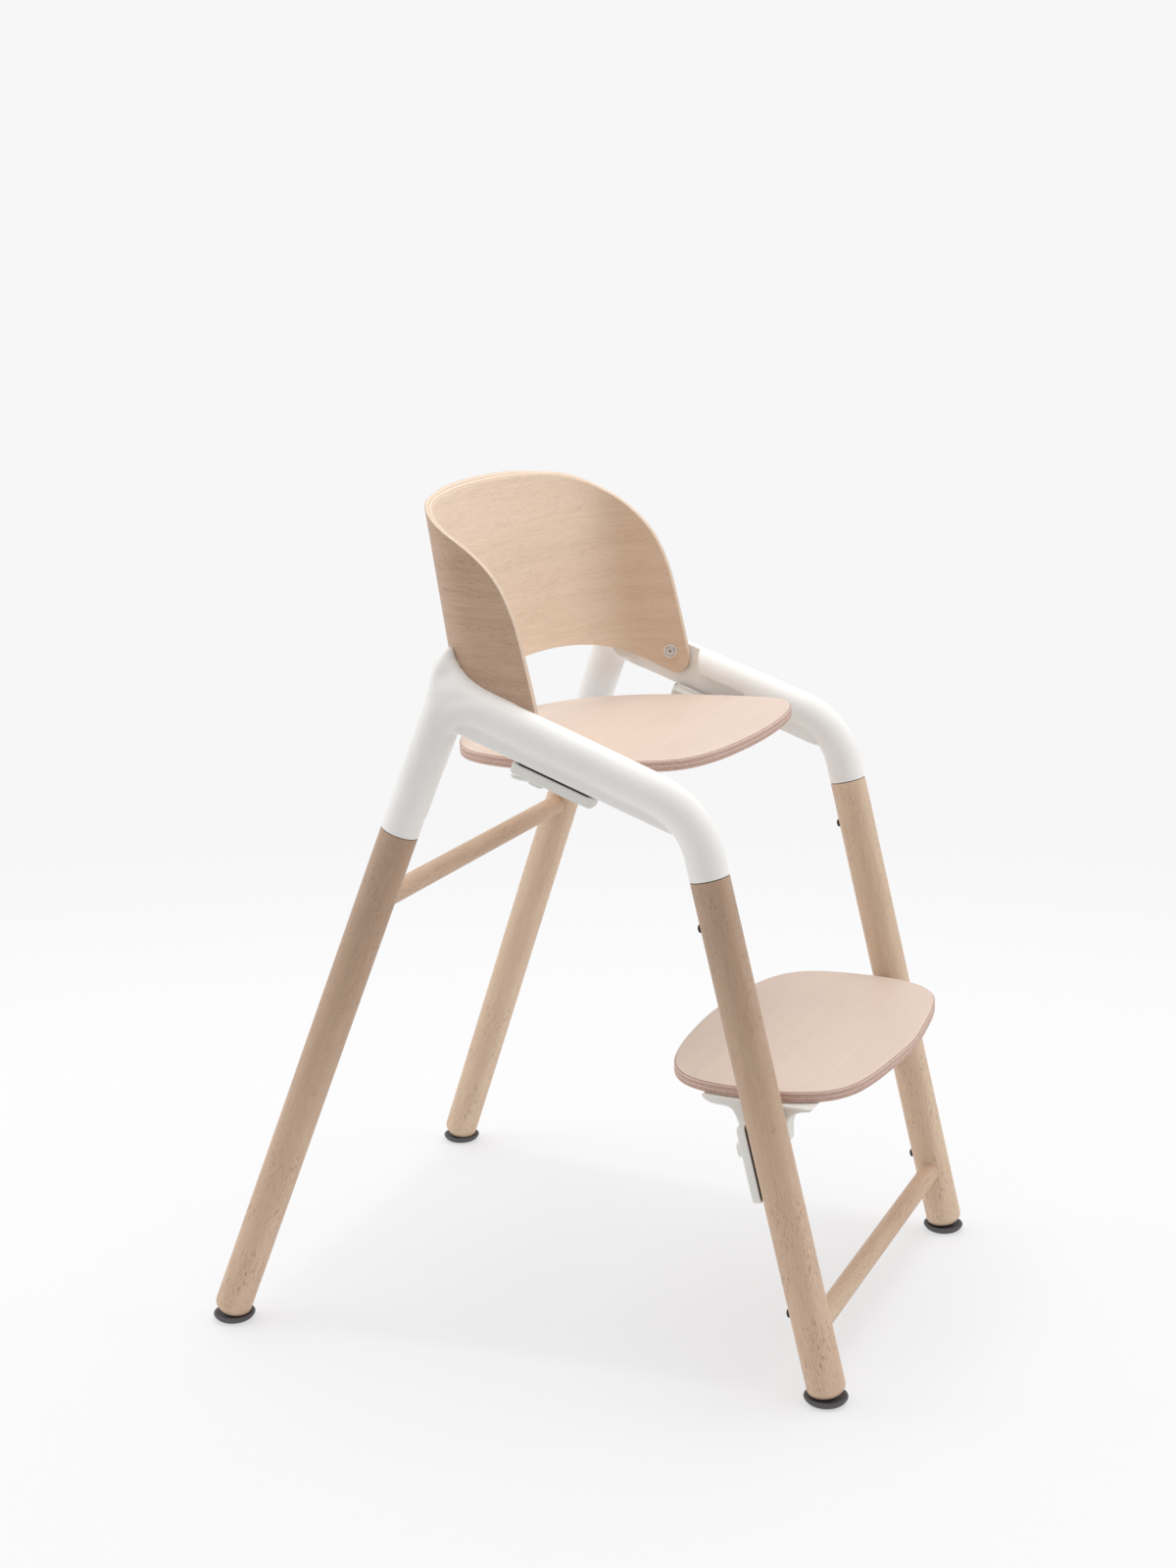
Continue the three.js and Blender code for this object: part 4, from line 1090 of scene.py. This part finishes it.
def soft_copy(node, matrix, voxel, rounds):
    """A dense, softened skin over one of the frame's own solids, in its local frame."""
    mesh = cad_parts[node].data.copy()
    mesh.materials.clear()
    mesh.transform(in_metres(matrix).inverted())
    return moulded(mesh, voxel, rounds)


def build_brackets():
    for group, place in (("seat", seat_clamp_frame), ("footrest", footrest_clamp_frame)):
        mesh = soft_copy(f"{group}_bracket_left", place, 0.6, 14)
        add_pair(
            f"{group}_bracket_casting", mesh, place, f"{group}_carriage",
            [white_moulded], f"{group}_bracket", 60,
        )


def build_button(group, matrix, width, length, at, face, tip, root):
    """Caps that reach by tip and root past the clamp's face, hollow over their springs."""
    mesh = rounded_slab("button", pill(width, length), face - tip, face + root, 1.5, 0.4, 6)
    low, high = face - SPRING_HOLLOW_DEPTH, face + root + 1
    profile = [(0, low), (SPRING_HOLLOW_R, low), (SPRING_HOLLOW_R, high), (0, high)]
    mesh = without(mesh, lathe("spring_hollow", profile, 32))
    mesh.transform(Matrix.Translation((0, at * MM, 0)))
    mesh.polygons.foreach_set("material_index", [0] * len(mesh.polygons))
    bodies = (f"{group}_button_left", f"{group}_button_right")
    add_pair(
        f"{group}_button_cap", mesh, matrix, bodies, [white_moulded],
        f"{group}_release_button",
    )


def dress_frame_nodes():
    """Materials for the frame's own pieces that stay in view."""
    finishes = {"stud": steel, "insert": steel, "spring": steel, "screw": steel, "shoe": black}
    for name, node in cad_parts.items():
        for word, material in finishes.items():
            if word in name:
                node.data.materials.clear()
                node.data.materials.append(material)


# Floor, world, lights and camera, in metres
PALE = (0.93, 0.93, 0.935)
FLOOR_R = 3.5
# Painted shadow: the floor's glow is dimmed to this share between the feet.
PAINTED_SHADOW_SHARE = 0.93  # brightness of the floor between the feet, as a share of the rest
BRIGHT_SIDE = (0.80, 0.35, 0.48)
LENS = 53.2245  # millimetres, on a sensor of 36
CAMERA_PLACE = (-2.07391, -0.89496, 1.0395)
CAMERA_AZIMUTH = -1.1572
CAMERA_ELEVATION = 0.22811
CAMERA_ROLL = -0.020103


def build_floor():
    """A pale disc that fades out, with a soft shadow painted between the chair's feet."""
    g = Graph("floor")
    where = g.place("Object")
    x, y = g.split(where)["X"], g.split(where)["Y"]
    away = g.math("SQRT", g.math("ADD", g.math("MULTIPLY", x, x), g.math("MULTIPLY", y, y)))
    speck = g.noise(where, (60, 60, 60), 2.0)
    # Painted shadow: a soft patch over the quadrilateral of the feet.
    slope = (REAR_FOOT.x - FRONT_FOOT.x) / (REAR_FOOT.y - FRONT_FOOT.y)
    half_width = (REAR_FOOT.x + FRONT_FOOT.x) / 2 * MM
    side = g.math("ADD", g.math("MULTIPLY", y, slope), half_width)
    beside = g.math("SUBTRACT", side, g.math("ABSOLUTE", x))
    before = g.math("SUBTRACT", REAR_FOOT.y * MM, g.math("ABSOLUTE", y))
    shadow_patch = g.math("MULTIPLY", g.spread(beside, -0.03, 0.04), g.spread(before, -0.03, 0.04))
    level = g.spread(shadow_patch, 0.0, 1.0, 1.0, PAINTED_SHADOW_SHARE)
    tint = g.mix(g.spread(speck, 0.3, 0.7, 0.0, 0.3), (0.86, 0.86, 0.87, 1), (0.84, 0.84, 0.85, 1))
    matt = g.node("ShaderNodeBsdfDiffuse", {"Color": tint})
    glow = g.node("ShaderNodeEmission", {"Color": (*PALE, 1), "Strength": level})
    even = g.node("ShaderNodeMixShader", {0: 0.62, 1: matt.outputs[0], 2: glow.outputs[0]})
    clear = g.node("ShaderNodeBsdfTransparent")
    shares = {0: g.spread(away, 0.9, 2.6), 1: even.outputs[0], 2: clear.outputs[0]}
    fade = g.node("ShaderNodeMixShader", shares)
    g.node("ShaderNodeOutputMaterial", {"Surface": fade.outputs[0]})
    mesh = to_mesh("floor", circle(FLOOR_R / MM, 0, 64), [tuple(range(64))])
    mesh.materials.append(g.owner)
    floor = bpy.data.objects.new("floor", mesh)
    floor.location = (0, 0, -0.0005)
    bpy.context.scene.collection.objects.link(floor)


def build_world():
    """Pale to the camera, and a soft uneven light to everything else."""
    g = Graph("studio", "worlds")
    place = g.place("Generated")
    seen = g.node("ShaderNodeBackground", {"Color": (*PALE, 1), "Strength": 1.0})
    facing = g.node("ShaderNodeVectorMath", {0: place, 1: BRIGHT_SIDE}, operation="DOT_PRODUCT")
    level = g.spread(facing.outputs["Value"], -0.9, 0.9, 0.46, 0.98, "LINEAR")
    lower_half = g.spread(g.split(place)["Z"], -0.3, 0.05, 0.7, 1.0, "LINEAR")
    strength = g.math("MULTIPLY", level, lower_half)
    light = g.node("ShaderNodeBackground", {"Color": (1.0, 0.995, 0.99, 1), "Strength": strength})
    path = g.node("ShaderNodeLightPath")
    shares = {0: path.outputs["Is Camera Ray"], 1: light.outputs[0], 2: seen.outputs[0]}
    mix = g.node("ShaderNodeMixShader", shares)
    g.node("ShaderNodeOutputWorld", {"Surface": mix.outputs[0]})
    bpy.context.scene.world = g.owner


def add_light(name, place, target, size, power):
    lamp = bpy.data.lights.new(name, "AREA")
    lamp.shape = "RECTANGLE"
    lamp.size, lamp.size_y = size
    lamp.energy = power
    holder = bpy.data.objects.new(name, lamp)
    holder.location = place
    toward = Vector(target) - Vector(place)
    holder.rotation_mode = "QUATERNION"
    holder.rotation_quaternion = toward.to_track_quat("-Z", "Y")
    bpy.context.scene.collection.objects.link(holder)


def build_lights():
    add_light("overhead", (0.3, 0.1, 2.6), (0, 0, 0.4), (2.0, 2.0), 27)
    add_light("side_back", (-0.5, 2.4, 1.3), (0, 0, 0.45), (1.4, 2.0), 12.5)
    add_light("side_front", (0.9, -2.4, 1.2), (0, 0, 0.45), (1.4, 2.0), 12.5)


def build_camera():
    lens = bpy.data.cameras.new("camera")
    lens.sensor_width = 36
    lens.lens = LENS
    lens.clip_start = 0.05
    lens.clip_end = 50
    camera = bpy.data.objects.new("camera", lens)
    back = Vector((
        math.sin(CAMERA_AZIMUTH) * math.cos(CAMERA_ELEVATION),
        -math.cos(CAMERA_AZIMUTH) * math.cos(CAMERA_ELEVATION),
        math.sin(CAMERA_ELEVATION),
    ))
    level = Vector((math.cos(CAMERA_AZIMUTH), math.sin(CAMERA_AZIMUTH), 0))
    upright = back.cross(level)
    right = level * math.cos(CAMERA_ROLL) + upright * math.sin(CAMERA_ROLL)
    up = upright * math.cos(CAMERA_ROLL) - level * math.sin(CAMERA_ROLL)
    camera.matrix_world = basis(right, up, back, CAMERA_PLACE)
    bpy.context.scene.collection.objects.link(camera)
    bpy.context.scene.camera = camera


build_camera()
build_world()
build_lights()
build_floor()
build_legs()
build_stops()
build_pads()
build_rungs()
build_backrest()
build_back_screws()
build_side_frames()
build_plate(
    "seat_board", SEAT_OUTLINE, SEAT_T, seat_frame, "seat_carriage", seat_edge, "seat_plate",
)
build_plate(
    "footrest_board", FOOTREST_OUTLINE, FOOTREST_T, footrest_frame, "footrest_carriage",
    footrest_edge, "footrest_plate",
)
build_brackets()
build_button(
    "seat", seat_clamp_frame, width=9, length=15, at=15, face=-11.8, tip=5, root=4,
)
build_button(
    "footrest", footrest_clamp_frame, width=9, length=14, at=232, face=-9.2, tip=5, root=3.4,
)
dress_frame_nodes()
bpy.context.scene.view_settings.view_transform = "Standard"
